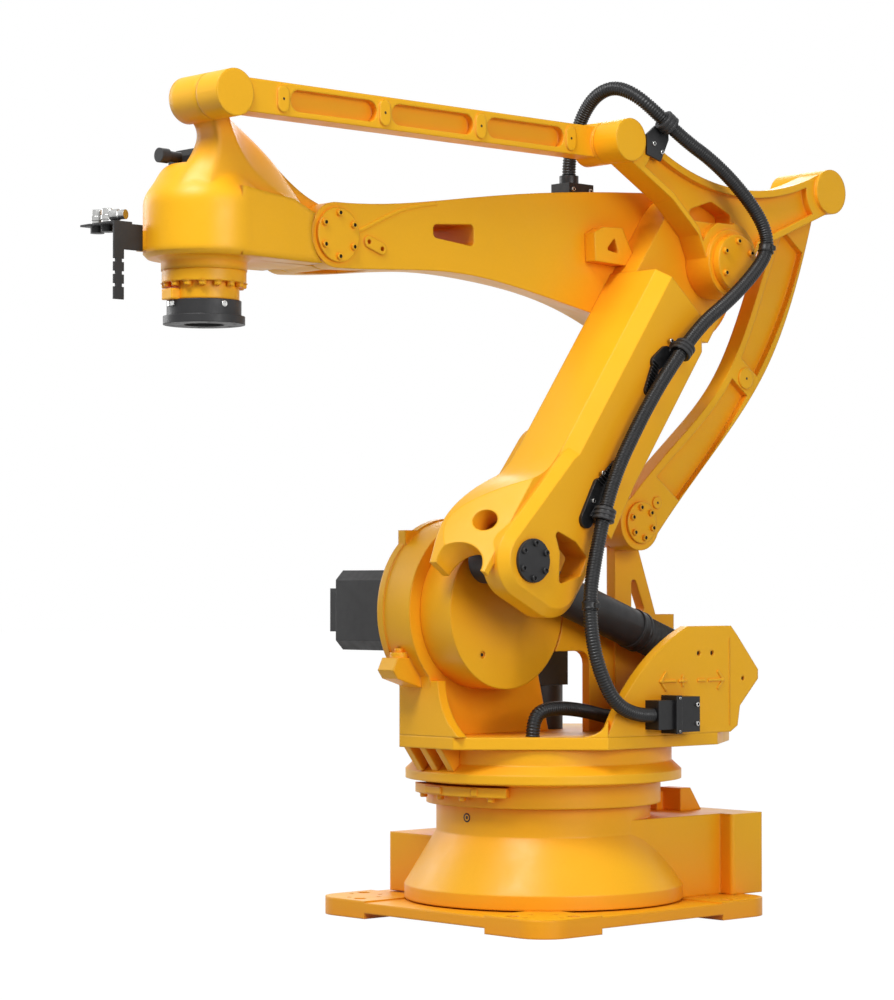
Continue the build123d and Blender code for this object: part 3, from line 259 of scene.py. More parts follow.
def coat(name, base, tones, sheen, relief, edge, specular=None):
    """A finish of uneven tone and sheen with a fine relief: its material, tree, shader, place and tone.

    Each of tones, sheen and relief starts with the scale and detail of its noise. Then tones and sheen give
    the ends of their range, and relief gives its distance and strength.
    """
    material, tree, shader, place = finish_base(name)
    scale, detail, low, high = tones
    share = spread(tree, noise(tree, place, scale, detail), 0.0, 1.0)
    tone = mixed(tree, share, shade(base, low), shade(base, high))
    scale, detail, low, high = sheen
    tree.links.new(spread(tree, noise(tree, place, scale, detail), low, high), shader.inputs["Roughness"])
    if specular is not None:
        shader.inputs["Specular IOR Level"].default_value = specular
    scale, detail, distance, strength = relief
    grain(tree, shader, noise(tree, place, scale, detail), distance, strength, edge)
    return material, tree, shader, place, tone


def with_socket_shade(tree, tone, dark):
    """A tone that turns dark on faces marked as sockets: painted shade in the sockets of screws and in bores,
    and the dark rings of the target mark.
    """
    socket = node(tree, "ShaderNodeAttribute", attribute_name="socket").outputs["Fac"]
    return mixed(tree, socket, tone, dark)


def yellow_paint(name="yellow_paint", flowing=False):
    """Satin paint on castings: uneven tone and orange peel, with painted shade in hollows, screw sockets and
    bores, and the dark rings of the target mark.
    """
    paint = settings()[0]
    material, tree, shader, place, tone = coat(
        name, paint.yellow, tones=(2.3, 3.0, 0.965, 1.03), sheen=(17.0, 4.0, 0.36, 0.47),
        relief=(420.0, 2.0, 0.0006, 0.12), edge=paint.flow if flowing else paint.edge, specular=0.3)
    specks = spread(tree, noise(tree, place, 140.0, 2.0), 0.0, 0.09)
    speck = mixed(tree, specks, tone, shade(paint.yellow, 0.80))
    # Painted shade: ambient occlusion mixes a deeper orange into the hollows
    hollow = node(tree, "ShaderNodeAmbientOcclusion", samples=6)
    hollow.inputs["Distance"].default_value = paint.hollow
    depth = math_node(tree, "SUBTRACT", 1.0, hollow.outputs["AO"])
    with_hollow_shade = mixed(tree, depth, speck, paint.painted_shade)
    # Faces marked as sockets turn dark: painted shade in screw sockets and bores, and the dark rings of the
    # target mark
    tree.links.new(with_socket_shade(tree, with_hollow_shade, shade(paint.yellow, 0.03)), shader.inputs["Base Color"])
    return material


def flowing_paint():
    """The yellow paint over a casting whose forms run into each other."""
    return yellow_paint("yellow_paint_flowing", True)


def black_paint():
    """Satin black paint with a faint cloudy wear."""
    paint = settings()[0]
    material, tree, shader, place, tone = coat(
        "black_paint", paint.black, tones=(11.0, 5.0, 0.8, 1.35), sheen=(40.0, 4.0, 0.40, 0.56),
        relief=(380.0, 2.0, 0.0005, 0.14), edge=paint.edge * 0.5, specular=0.32)
    tree.links.new(tone, shader.inputs["Base Color"])
    return material


def black_plastic():
    """Moulded black plastic with a fine spark-eroded grain."""
    paint = settings()[0]
    material, tree, shader, place, tone = coat(
        "black_plastic", paint.plastic, tones=(60.0, 4.0, 0.75, 1.5), sheen=(90.0, 3.0, 0.30, 0.44),
        relief=(700.0, 1.0, 0.0004, 0.2), edge=paint.edge * 0.3, specular=0.35)
    tree.links.new(tone, shader.inputs["Base Color"])
    return material


def rubber():
    """Dull rubber with dust in its creases."""
    paint = settings()[0]
    material, tree, shader, place, tone = coat(
        "rubber", paint.rubber, tones=(25.0, 6.0, 0.8, 1.8), sheen=(70.0, 3.0, 0.52, 0.7),
        relief=(500.0, 2.0, 0.0004, 0.2), edge=paint.edge * 0.3)
    tree.links.new(tone, shader.inputs["Base Color"])
    return material


def steel():
    """Zinc-plated steel with a cloudy sheen."""
    paint = settings()[0]
    material, tree, shader, place, tone = coat(
        "steel", paint.steel, tones=(120.0, 4.0, 0.85, 1.1), sheen=(260.0, 3.0, 0.22, 0.36),
        relief=(900.0, 1.0, 0.0002, 0.15), edge=paint.edge * 0.1)
    # Painted shade: the sockets of the steel screws turn dark
    tree.links.new(with_socket_shade(tree, tone, shade(paint.steel, 0.05)), shader.inputs["Base Color"])
    shader.inputs["Metallic"].default_value = 1.0
    return material


FINISHES = {
    "yellow_paint": yellow_paint, "yellow_paint_flowing": flowing_paint, "black_paint": black_paint,
    "black_plastic": black_plastic, "rubber": rubber, "steel": steel,
}
FLOWING_NODES = ("wrist_head",)


def finish(name):
    """The material of a slot, made once."""
    return bpy.data.materials.get(name) or FINISHES[name]()


def placed(name, data):
    """A new object in the scene."""
    made = bpy.data.objects.new(name, data)
    bpy.context.scene.collection.objects.link(made)
    return made


def piece(name, mesh, body, slot):
    """A new piece that rides on a body and takes a slot's finish."""
    made = placed(name, mesh)
    mesh.materials.clear()
    mesh.materials.append(finish(slot))
    if body:
        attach(made, body)
    return made


def baked(holder, name):
    """The evaluated shape of an object as a plain mesh."""
    graph = bpy.context.evaluated_depsgraph_get()
    mesh = bpy.data.meshes.new_from_object(holder.evaluated_get(graph), depsgraph=graph)
    mesh.name = name
    return mesh


def discard(holder):
    """Removes a helper object."""
    bpy.data.objects.remove(holder, do_unlink=True)


def tree_inputs(name, sockets):
    """A geometry tree with named inputs: the tree, its end nodes and the inputs' identifiers."""
    tree = bpy.data.node_groups.new(name, "GeometryNodeTree")
    tree.interface.new_socket("Geometry", in_out="INPUT", socket_type="NodeSocketGeometry")
    keys = {}
    for label, kind in sockets:
        keys[label] = tree.interface.new_socket(label, in_out="INPUT", socket_type=kind).identifier
    tree.interface.new_socket("Geometry", in_out="OUTPUT", socket_type="NodeSocketGeometry")
    return tree, node(tree, "NodeGroupInput"), node(tree, "NodeGroupOutput"), keys


def math_node(tree, operation, first, second=None):
    """One step of arithmetic between sockets or numbers."""
    made = node(tree, "ShaderNodeMath", operation=operation)
    for socket, value in zip(made.inputs, (first, second)):
        if isinstance(value, bpy.types.NodeSocket):
            tree.links.new(value, socket)
        elif value is not None:
            socket.default_value = value
    return made.outputs["Value"]


def hose_tree():
    """Corrugated tube along a curve."""
    tree, start, end, keys = tree_inputs("hose_ribs", (
        ("Radius", "NodeSocketFloat"), ("Pitch", "NodeSocketFloat"), ("Depth", "NodeSocketFloat"),
        ("Sides", "NodeSocketInt"), ("Finish", "NodeSocketMaterial")))
    steps = 6.0     # cuts along each rib
    cut = node(tree, "GeometryNodeResampleCurve", mode="LENGTH")
    tree.links.new(start.outputs["Geometry"], cut.inputs["Curve"])
    tree.links.new(math_node(tree, "DIVIDE", start.outputs["Pitch"], steps), cut.inputs["Length"])
    along = node(tree, "GeometryNodeSplineParameter").outputs["Length"]
    turns = math_node(tree, "DIVIDE", along, start.outputs["Pitch"])
    wave = math_node(tree, "SINE", math_node(tree, "MULTIPLY", turns, math.tau))
    groove = math_node(tree, "MULTIPLY", math_node(tree, "SUBTRACT", wave, 1.0),
                       math_node(tree, "MULTIPLY", start.outputs["Depth"], 0.5))
    size = math_node(tree, "ADD", start.outputs["Radius"], groove)
    circle = node(tree, "GeometryNodeCurvePrimitiveCircle")
    tree.links.new(start.outputs["Sides"], circle.inputs["Resolution"])
    circle.inputs["Radius"].default_value = 1.0
    tube = node(tree, "GeometryNodeCurveToMesh")
    tube.inputs["Fill Caps"].default_value = True
    tree.links.new(cut.outputs["Curve"], tube.inputs["Curve"])
    tree.links.new(circle.outputs["Curve"], tube.inputs["Profile Curve"])
    tree.links.new(size, tube.inputs["Scale"])
    smooth = node(tree, "GeometryNodeSetShadeSmooth")
    tree.links.new(tube.outputs["Mesh"], smooth.inputs["Geometry"])
    real = node(tree, "GeometryNodeRealizeInstances")
    tree.links.new(smooth.outputs["Geometry"], real.inputs["Geometry"])
    paint = node(tree, "GeometryNodeSetMaterial")
    tree.links.new(real.outputs["Geometry"], paint.inputs["Geometry"])
    tree.links.new(start.outputs["Finish"], paint.inputs["Material"])
    tree.links.new(paint.outputs["Geometry"], end.inputs["Geometry"])
    return tree, keys


def nurbs(name, points):
    """A smooth curve whose control points are the corners of a route."""
    curve = bpy.data.curves.new(name, "CURVE")
    curve.dimensions = "3D"
    curve.resolution_u = 24
    spline = curve.splines.new("NURBS")
    spline.points.add(len(points) - 1)
    for control, point in zip(spline.points, points):
        control.co = (*point, 1.0)
    spline.order_u = 3
    spline.use_endpoint_u = True
    return placed(name, curve)


def run_middle(index):
    """Middle of one run of the hose route."""
    return (HOSE_ROUTE[index] + HOSE_ROUTE[index + 1]) / 2


def hose_spans():
    """The control points of each span of the hose, from clamp to clamp, and of the hose on the floor."""
    stops = (None, *CLAMP_RUNS, None)
    spans = []
    for low, high in zip(stops, stops[1:]):
        inner = HOSE_ROUTE[0 if low is None else low + 1:None if high is None else high + 1]
        ends = [[] if run is None else [run_middle(run)] for run in (low, high)]
        spans.append(ends[0] + inner + ends[1])
    return [*spans, FLOOR_ROUTE]


def line_points(holder):
    """Points along a curve's own line."""
    mesh = baked(holder, holder.name + "_line")
    points = [vertex.co.copy() for vertex in mesh.vertices]
    bpy.data.meshes.remove(mesh)
    return points


def nearest(path, corner):
    """Index of the inner point of a path that is nearest to a corner."""
    return min(range(1, len(path) - 1), key=lambda i: (path[i] - corner).length)


def set_inputs(modifier, keys, values):
    """Sets a modifier's inputs by their identifiers."""
    for label, value in values.items():
        modifier[keys[label]] = value


class ARM_OT_hoses(bpy.types.Operator):
    """Corrugated hose in spans from clamp to clamp, and the hose on the floor."""

    bl_idname = "arm.hoses"
    bl_label = "Hoses"

    def execute(self, context):
        hose = settings()[1]
        tree, keys = hose_tree()
        for (name, first, second), corners in zip(HOSE_BODIES, hose_spans()):
            holder = nurbs(name + "_route", corners)
            path = line_points(holder)
            modifier = holder.modifiers.new("ribs", "NODES")
            modifier.node_group = tree
            set_inputs(modifier, keys, {
                "Radius": hose.radius, "Pitch": hose.pitch, "Depth": hose.depth, "Sides": hose.sides,
                "Finish": finish("black_plastic")})
            mesh = baked(holder, name + "_ribbed")
            discard(holder)
            same = first == second
            tube = piece(name + "_ribbed", mesh, first if same else None, "black_plastic")
            if not same:
                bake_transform(tube)
            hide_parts(name)
            if name in CLIP_CORNERS:
                clip = self.clip(name + "_clip", path, HOSE_ROUTE[CLIP_CORNERS[name]])
                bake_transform(clip)
        return {"FINISHED"}

    def clip(self, name, path, corner):
        """A moulded clip with its lug on a hose, at the point nearest to a corner of the route."""
        hose = settings()[1]
        index = nearest(path, corner)
        along = (path[index + 1] - path[index - 1]).normalized()
        inner, outer = hose.radius - 0.003, hose.radius + 0.0022
        bead, half = outer + 0.0014, 0.011
        profile = ((inner, -half), (outer, -half), (bead, -0.009), (outer, -0.006), (outer, 0.006),
                   (bead, 0.009), (outer, half), (inner, half))
        band = lathe(name + "_band", profile, path[index], along, 40)
        mesh = bmesh.new()
        mesh.from_mesh(band)
        bpy.data.meshes.remove(band)
        block(mesh, path[index] + LEFT * (outer + 0.002), (0.016, 0.010, 0.014), 0.0, 0.002)
        return piece(name, closed(name, mesh), None, "black_plastic")


def ring(mesh, radius, height, sides):
    """A ring of corners round the upright axis, or one corner where its radius is nothing."""
    if radius == 0.0:
        return [mesh.verts.new((0, 0, height))]
    turns = [math.tau * step / sides for step in range(sides)]
    return [mesh.verts.new((radius * math.cos(turn), radius * math.sin(turn), height)) for turn in turns]


def join_rings(mesh, low, high):
    """The faces between two rings, whose counts of corners may differ."""
    many = max(len(low), len(high))
    faces = []
    for i in range(many):
        after = (i + 1) % many
        corners = [low[i * len(low) // many], low[after * len(low) // many],
                   high[after * len(high) // many], high[i * len(high) // many]]
        corners = list(dict.fromkeys(corners))
        if len(corners) > 2:
            faces.append(mesh.faces.new(corners))
    return faces


def lathe(name, profile, centre, axis, sides=48):
    """A turned shape: (radius, height) points round an axis through a centre."""
    mesh = bmesh.new()
    turn = UP.rotation_difference(Vector(axis)).to_matrix().to_4x4()
    place = Matrix.Translation(Vector(centre)) @ turn
    rings = [ring(mesh, radius, height, sides) for radius, height in profile]
    for low, high in zip(rings, rings[1:]):
        join_rings(mesh, low, high)
    bmesh.ops.transform(mesh, matrix=place, verts=mesh.verts)
    return closed(name, mesh)


def closed(name, mesh):
    """A mesh under construction made whole."""
    bmesh.ops.recalc_face_normals(mesh, faces=mesh.faces)
    made = bpy.data.meshes.new(name)
    mesh.to_mesh(made)
    mesh.free()
    return made


def block(mesh, centre, size, turn=0.0, edge=0.0012):
    """Adds a block with rounded edges, turned about its upright axis, to a mesh under construction."""
    place = Matrix.Translation(Vector(centre)) @ Matrix.Rotation(turn, 4, "Z") @ Matrix.Diagonal((*size, 1.0))
    made = bmesh.ops.create_cube(mesh, size=1.0, matrix=place)
    edges = list({edge_line for corner in made["verts"] for edge_line in corner.link_edges})
    bmesh.ops.bevel(mesh, geom=edges, offset=edge, segments=2, profile=0.5, affect="EDGES")


def stroke(mesh, start, end, width, face, height):
    """Adds a raised stroke between two (x, z) points on a face that looks left."""
    along = Vector((end[0] - start[0], 0.0, end[1] - start[1]))
    middle = Vector(((start[0] + end[0]) / 2, face + height / 2, (start[1] + end[1]) / 2))
    turn = Matrix.Rotation(-math.atan2(along.z, along.x), 4, "Y")
    scale = Matrix.Diagonal((along.length + width, height * 1.4, width, 1.0))
    made = bmesh.ops.create_cube(mesh, size=1.0, matrix=Matrix.Translation(middle) @ turn @ scale)
    edges = list({edge_line for corner in made["verts"] for edge_line in corner.link_edges})
    bmesh.ops.bevel(mesh, geom=edges, offset=height * 0.4, segments=2, profile=0.5, affect="EDGES")


def socket_head(sides=20):
    """Cap screw of unit head radius with a hexagon socket, standing on z = 0."""
    mesh = bmesh.new()
    mark = mesh.faces.layers.float.new("socket")
    mouth, floor = 0.56, 0.2        # radius of the socket and height of its floor
    levels = ((1.0, -0.15), (1.0, 0.72), (0.86, 0.9), (mouth, 0.9))
    rings = [ring(mesh, radius, height, sides) for radius, height in levels]
    bottom = ring(mesh, mouth, floor, sides)
    for low, high in zip(rings, rings[1:]):
        join_rings(mesh, low, high)
    # Painted shade: the socket's wall and floor are marked to turn dark
    for face in (*join_rings(mesh, rings[-1], bottom), mesh.faces.new(bottom)):
        face[mark] = 1.0
    return prototype("socket_head", mesh)


def hex_head():
    """Hexagon bolt head of unit radius with a chamfered crown and washer, standing on z = 0."""
    mesh = bmesh.new()
    mesh.faces.layers.float.new("socket")
    levels = ((12, 1.18, -0.1), (12, 1.18, 0.16), (6, 1.0, 0.16), (6, 1.0, 0.95), (12, 0.8, 1.15))
    rings = [ring(mesh, radius, height, sides) for sides, radius, height in levels]
    for low, high in zip(rings, rings[1:]):
        join_rings(mesh, low, high)
    mesh.faces.new(rings[-1])
    return prototype("hex_head", mesh)


def spot_head(name, bands, sides=24):
    """Flat mark of unit radius on z = 0 whose bands, from the rim inwards, are painted or dark; in a bore the
    dark middle is painted shade in place of a hole.
    """
    mesh = bmesh.new()
    mark = mesh.faces.layers.float.new("socket")
    foot, top = -0.05, 0.06
    rings = [ring(mesh, 1.0, foot, sides)] + [ring(mesh, radius, top, sides) for radius, dark in bands]
    shades = [False] + [dark for radius, dark in bands]
    for low, high, dark in zip(rings, rings[1:], shades):
        for face in join_rings(mesh, low, high):
            face[mark] = float(dark)
    mesh.faces.new(rings[-1])[mark] = float(shades[-1])
    return prototype(name, mesh)


def prototype(name, mesh):
    """A helper object from a mesh under construction."""
    return placed(name, closed(name, mesh))


def fastener_tree():
    """Fastener heads on points that carry an aim and a size."""
    tree, start, end, keys = tree_inputs("fastener_field", (
        ("Head", "NodeSocketObject"), ("Finish", "NodeSocketMaterial")))
    head = node(tree, "GeometryNodeObjectInfo")
    tree.links.new(start.outputs["Head"], head.inputs["Object"])
    aim = node(tree, "GeometryNodeInputNamedAttribute", data_type="FLOAT_VECTOR")
    aim.inputs["Name"].default_value = "aim"
    size = node(tree, "GeometryNodeInputNamedAttribute", data_type="FLOAT")
    size.inputs["Name"].default_value = "size"
    turn = node(tree, "FunctionNodeAlignRotationToVector", axis="Z")
    tree.links.new(aim.outputs["Attribute"], turn.inputs["Vector"])
    spots = node(tree, "GeometryNodeInstanceOnPoints")
    tree.links.new(start.outputs["Geometry"], spots.inputs["Points"])
    tree.links.new(head.outputs["Geometry"], spots.inputs["Instance"])
    tree.links.new(turn.outputs["Rotation"], spots.inputs["Rotation"])
    tree.links.new(size.outputs["Attribute"], spots.inputs["Scale"])
    real = node(tree, "GeometryNodeRealizeInstances")
    tree.links.new(spots.outputs["Instances"], real.inputs["Geometry"])
    paint = node(tree, "GeometryNodeSetMaterial")
    tree.links.new(real.outputs["Geometry"], paint.inputs["Geometry"])
    tree.links.new(start.outputs["Finish"], paint.inputs["Material"])
    tree.links.new(paint.outputs["Geometry"], end.inputs["Geometry"])
    return tree, keys


def fastener_field(name, body, slot, head, tree, keys, spots):
    """One piece of fasteners on one body: spots are (point, aim, size)."""
    mesh = bpy.data.meshes.new(name + "_spots")
    mesh.from_pydata([tuple(point) for point, aim, size in spots], [], [])
    mesh.attributes.new("aim", "FLOAT_VECTOR", "POINT")
    mesh.attributes.new("size", "FLOAT", "POINT")
    for index, (point, aim, size) in enumerate(spots):
        mesh.attributes["aim"].data[index].vector = aim
        mesh.attributes["size"].data[index].value = size
    holder = placed(name + "_spots", mesh)
    modifier = holder.modifiers.new("heads", "NODES")
    modifier.node_group = tree
    set_inputs(modifier, keys, {"Head": head, "Finish": finish(slot)})
    made = baked(holder, name)
    discard(holder)
    return piece(name, made, body, slot)


def cap_circle(node_name, share, count, size, turn=0.0, side=LEFT):
    """Screws round a cap whose axis runs across the robot."""
    low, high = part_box(node_name)
    middle = (low + high) / 2
    radius = (high.x - low.x) / 2 * share
    face = high.y if side.y > 0 else low.y
    spots = []
    for i in range(count):
        angle = turn + math.tau * i / count
        point = (middle.x + radius * math.cos(angle), face, middle.z + radius * math.sin(angle))
        spots.append((Vector(point), side, size))
    return spots


def ring_bolts(size):
    """Bolts round the ring under the wrist."""
    count, radius, first, rise = 16, 0.094, math.radians(49.1), 0.030
    low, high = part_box("bolt_ring")
    middle = (low + high) / 2
    spots = []
    for i in range(count):
        angle = first + math.tau * i / count
        point = (middle.x + radius * math.cos(angle), middle.y + radius * math.sin(angle), high.z - rise)
        spots.append((Vector(point), DOWN, size))
    return spots


def rod_bores():
    """Bores in the pads of the upper rod, on both sides."""
    low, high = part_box("upper_rod")
    inset, size = 0.004, 0.0040
    spots = []
    for share in ROD_PAD_SHARES:
        along = UPPER_ROD_LENGTH * share
        x, z = UPPER_ROD_PIN.x + along * math.cos(ROD_DROP), UPPER_ROD_PIN.z - along * math.sin(ROD_DROP)
        spots += [(Vector((x, high.y - inset, z)), LEFT, size), (Vector((x, low.y + inset, z)), RIGHT, size)]
    return spots


def stop_bolts():
    """Bolts under the stop segment of the turning part."""
    radius, size = 0.334, 0.0105
    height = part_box("turret_stop")[0].z
    return [(round_point(ORIGIN, radius, degrees, height)[0], DOWN, size) for degrees in (-27, -9, 6, 21)]


def face_spots(y, places):
    """Spots on a face that looks left: places are (x, z, size)."""
    return [(Vector((x, y, z)), LEFT, size) for x, z, size in places]


class ARM_OT_fasteners(bpy.types.Operator):
    """Screws in the pin caps, clamps and blocks, the bolts under the wrist, and small bores."""

    bl_idname = "arm.fasteners"
    bl_label = "Fasteners"

    def execute(self, context):
        """Makes one piece of fasteners for each body and finish."""
        sizes = settings()[2]
        cap, small = sizes.cap_screw, sizes.small_screw
        tree, keys = fastener_tree()
        socket = socket_head()
        hexagon = hex_head()
        # A bore is a flat mark whose dark middle is painted shade in place of a hole
        bore = spot_head("bore", ((1.0, False), (0.88, True)))
        target = spot_head("target", ((1.0, True), (0.64, False), (0.38, True)))
        turn = math.radians(30)
        wrist = cap_circle("wrist_caps", 0.80, 6, cap, turn)
        wrist += cap_circle("wrist_caps", 0.80, 6, cap, turn, RIGHT)
        elbow = cap_circle("elbow_cap", 0.77, 6, cap, turn)
        rear = cap_circle("rear_rod_cap", 0.74, 6, cap, 0.35)
        balancer = cap_circle("balancer_pin", 0.8, 6, cap, 0.6)
        block_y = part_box("hose_block")[1].y
        block_spots = face_spots(block_y, ((-0.146, 0.570, small), (-0.146, 0.520, small)))
        block_spots += face_spots(block_y + 0.001, ((-0.0785, 0.588, small / 2), (-0.0785, 0.502, small / 2)))
        low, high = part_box("hose_socket")
        screw_z, inset = high.z - 0.040, 0.014
        socket_spots = face_spots(high.y, ((low.x + inset, screw_z, small), (high.x - inset, screw_z, small)))
        panel = face_spots(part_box("side_panel")[1].y - 0.005, (
            (-0.216, 0.702, 0.0069), (-0.269, 0.702, 0.0069), (-0.393, 0.632, 0.0059)))
        pads = face_spots(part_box("rear_rod_cap")[1].y - 0.0035, [(x, z, 0.0042) for x, z in REAR_PADS])
        bracket = face_spots(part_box("lever_bracket")[0].y + 0.007, (
            (-0.1293, 2.060, small), (-0.1602, 2.040, small)))
        clamps = face_spots(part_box("hose_clamps")[0].y + 0.010, (
            (0.1055, 1.174, small), (0.141, 1.1006, small), (-0.1575, 1.5322, small)))
        mark = [(*round_point(ORIGIN, 0.2878, 1.0, 0.273), 0.0125)]
        plug = [(arm_point(0.005, 0.1045, -0.1428), LEFT, 0.0085)]
        ear = [(Vector((0.470, -0.060, 0.708)), UP, 0.012)]
        fields = (
            ("wrist_cap_screws", "forearm", "yellow_paint", socket, wrist),
            ("elbow_cap_screws", "level_lever", "yellow_paint", socket, elbow),
            ("rear_cap_screws", "rear_link", "yellow_paint", socket, rear),
            ("balancer_pin_screws", "lower_arm", "black_paint", socket, balancer),
            ("wrist_ring_bolts", "wrist", "yellow_paint", hexagon, ring_bolts(sizes.hex_bolt)),
            ("hose_block_screws", "carousel", "steel", socket, block_spots),
            ("hose_socket_screws", "forearm", "steel", socket, socket_spots),
            ("panel_bores", "carousel", "yellow_paint", bore, panel),
            ("rod_pad_bores", "upper_link", "yellow_paint", bore, rod_bores()),
            ("rear_pad_bores", "rear_link", "yellow_paint", bore, pads),
            ("neck_mark", "base", "yellow_paint", target, mark),
            ("stop_bolts", "carousel", "yellow_paint", hexagon, stop_bolts()),
            ("drum_plug", "lower_arm", "yellow_paint", socket, plug),
            ("ear_screw", "carousel", "yellow_paint", socket, ear),
            ("lever_bracket_screws", "level_lever", "steel", socket, bracket),
            ("clamp_screws", "lower_arm", "steel", socket, clamps),
        )
        for name, body, slot, head, spots in fields:
            fastener_field(name, body, slot, head, tree, keys, spots)
        for head in (socket, hexagon, bore, target):
            discard(head)
        return {"FINISHED"}


def round_point(centre, radius, degrees, height):
    """A point on an upright cylinder and the direction away from its axis."""
    away = Vector((math.cos(math.radians(degrees)), math.sin(math.radians(degrees)), 0.0))
    return Vector((centre.x, centre.y, height)) + away * radius, away


def surface_point(node_name, x, z, side):
    """The outermost point of a CAD node at (x, z), seen from one side."""
    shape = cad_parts[node_name]
    back = shape.matrix_world.inverted()
    start = back @ (Vector((x, 0, z)) + side)
    hit, point, normal, face = shape.ray_cast(start, back.to_3x3() @ -side)
    if not hit:
        raise RuntimeError(f"no surface of {node_name} at {x}, {z}")
    return shape.matrix_world @ point


def ribbon(mesh, points, side, width, height):
    """Adds a raised line along points on a face that looks left or right."""
    rows = []
    for index, point in enumerate(points):
        along = (points[min(index + 1, len(points) - 1)] - points[max(index - 1, 0)]).normalized()
        across = along.cross(side).normalized()
        rows.append([mesh.verts.new(point + across * width * share + side * height * lift)
                     for share, lift in ((-0.5, -0.3), (-0.3, 0.8), (0.0, 1.0), (0.3, 0.8), (0.5, -0.3))])
    for row, after in zip(rows, rows[1:]):
        for corners in zip(row, row[1:], after[1:], after):
            mesh.faces.new(corners)
    mesh.faces.new(rows[0])
    mesh.faces.new(rows[-1])


def plate(name, outline, origin, along, depth):
    """A flat plate: an outline of (way along, height) points, carried through its depth."""
    mesh = bmesh.new()
    near = [mesh.verts.new(origin + along * way + UP * height) for way, height in outline]
    far = [mesh.verts.new(corner.co + depth) for corner in near]
    mesh.faces.new(near)
    mesh.faces.new(far)
    for i in range(len(near)):
        after = (i + 1) % len(near)
        mesh.faces.new((near[i], near[after], far[after], far[i]))
    return closed(name, mesh)


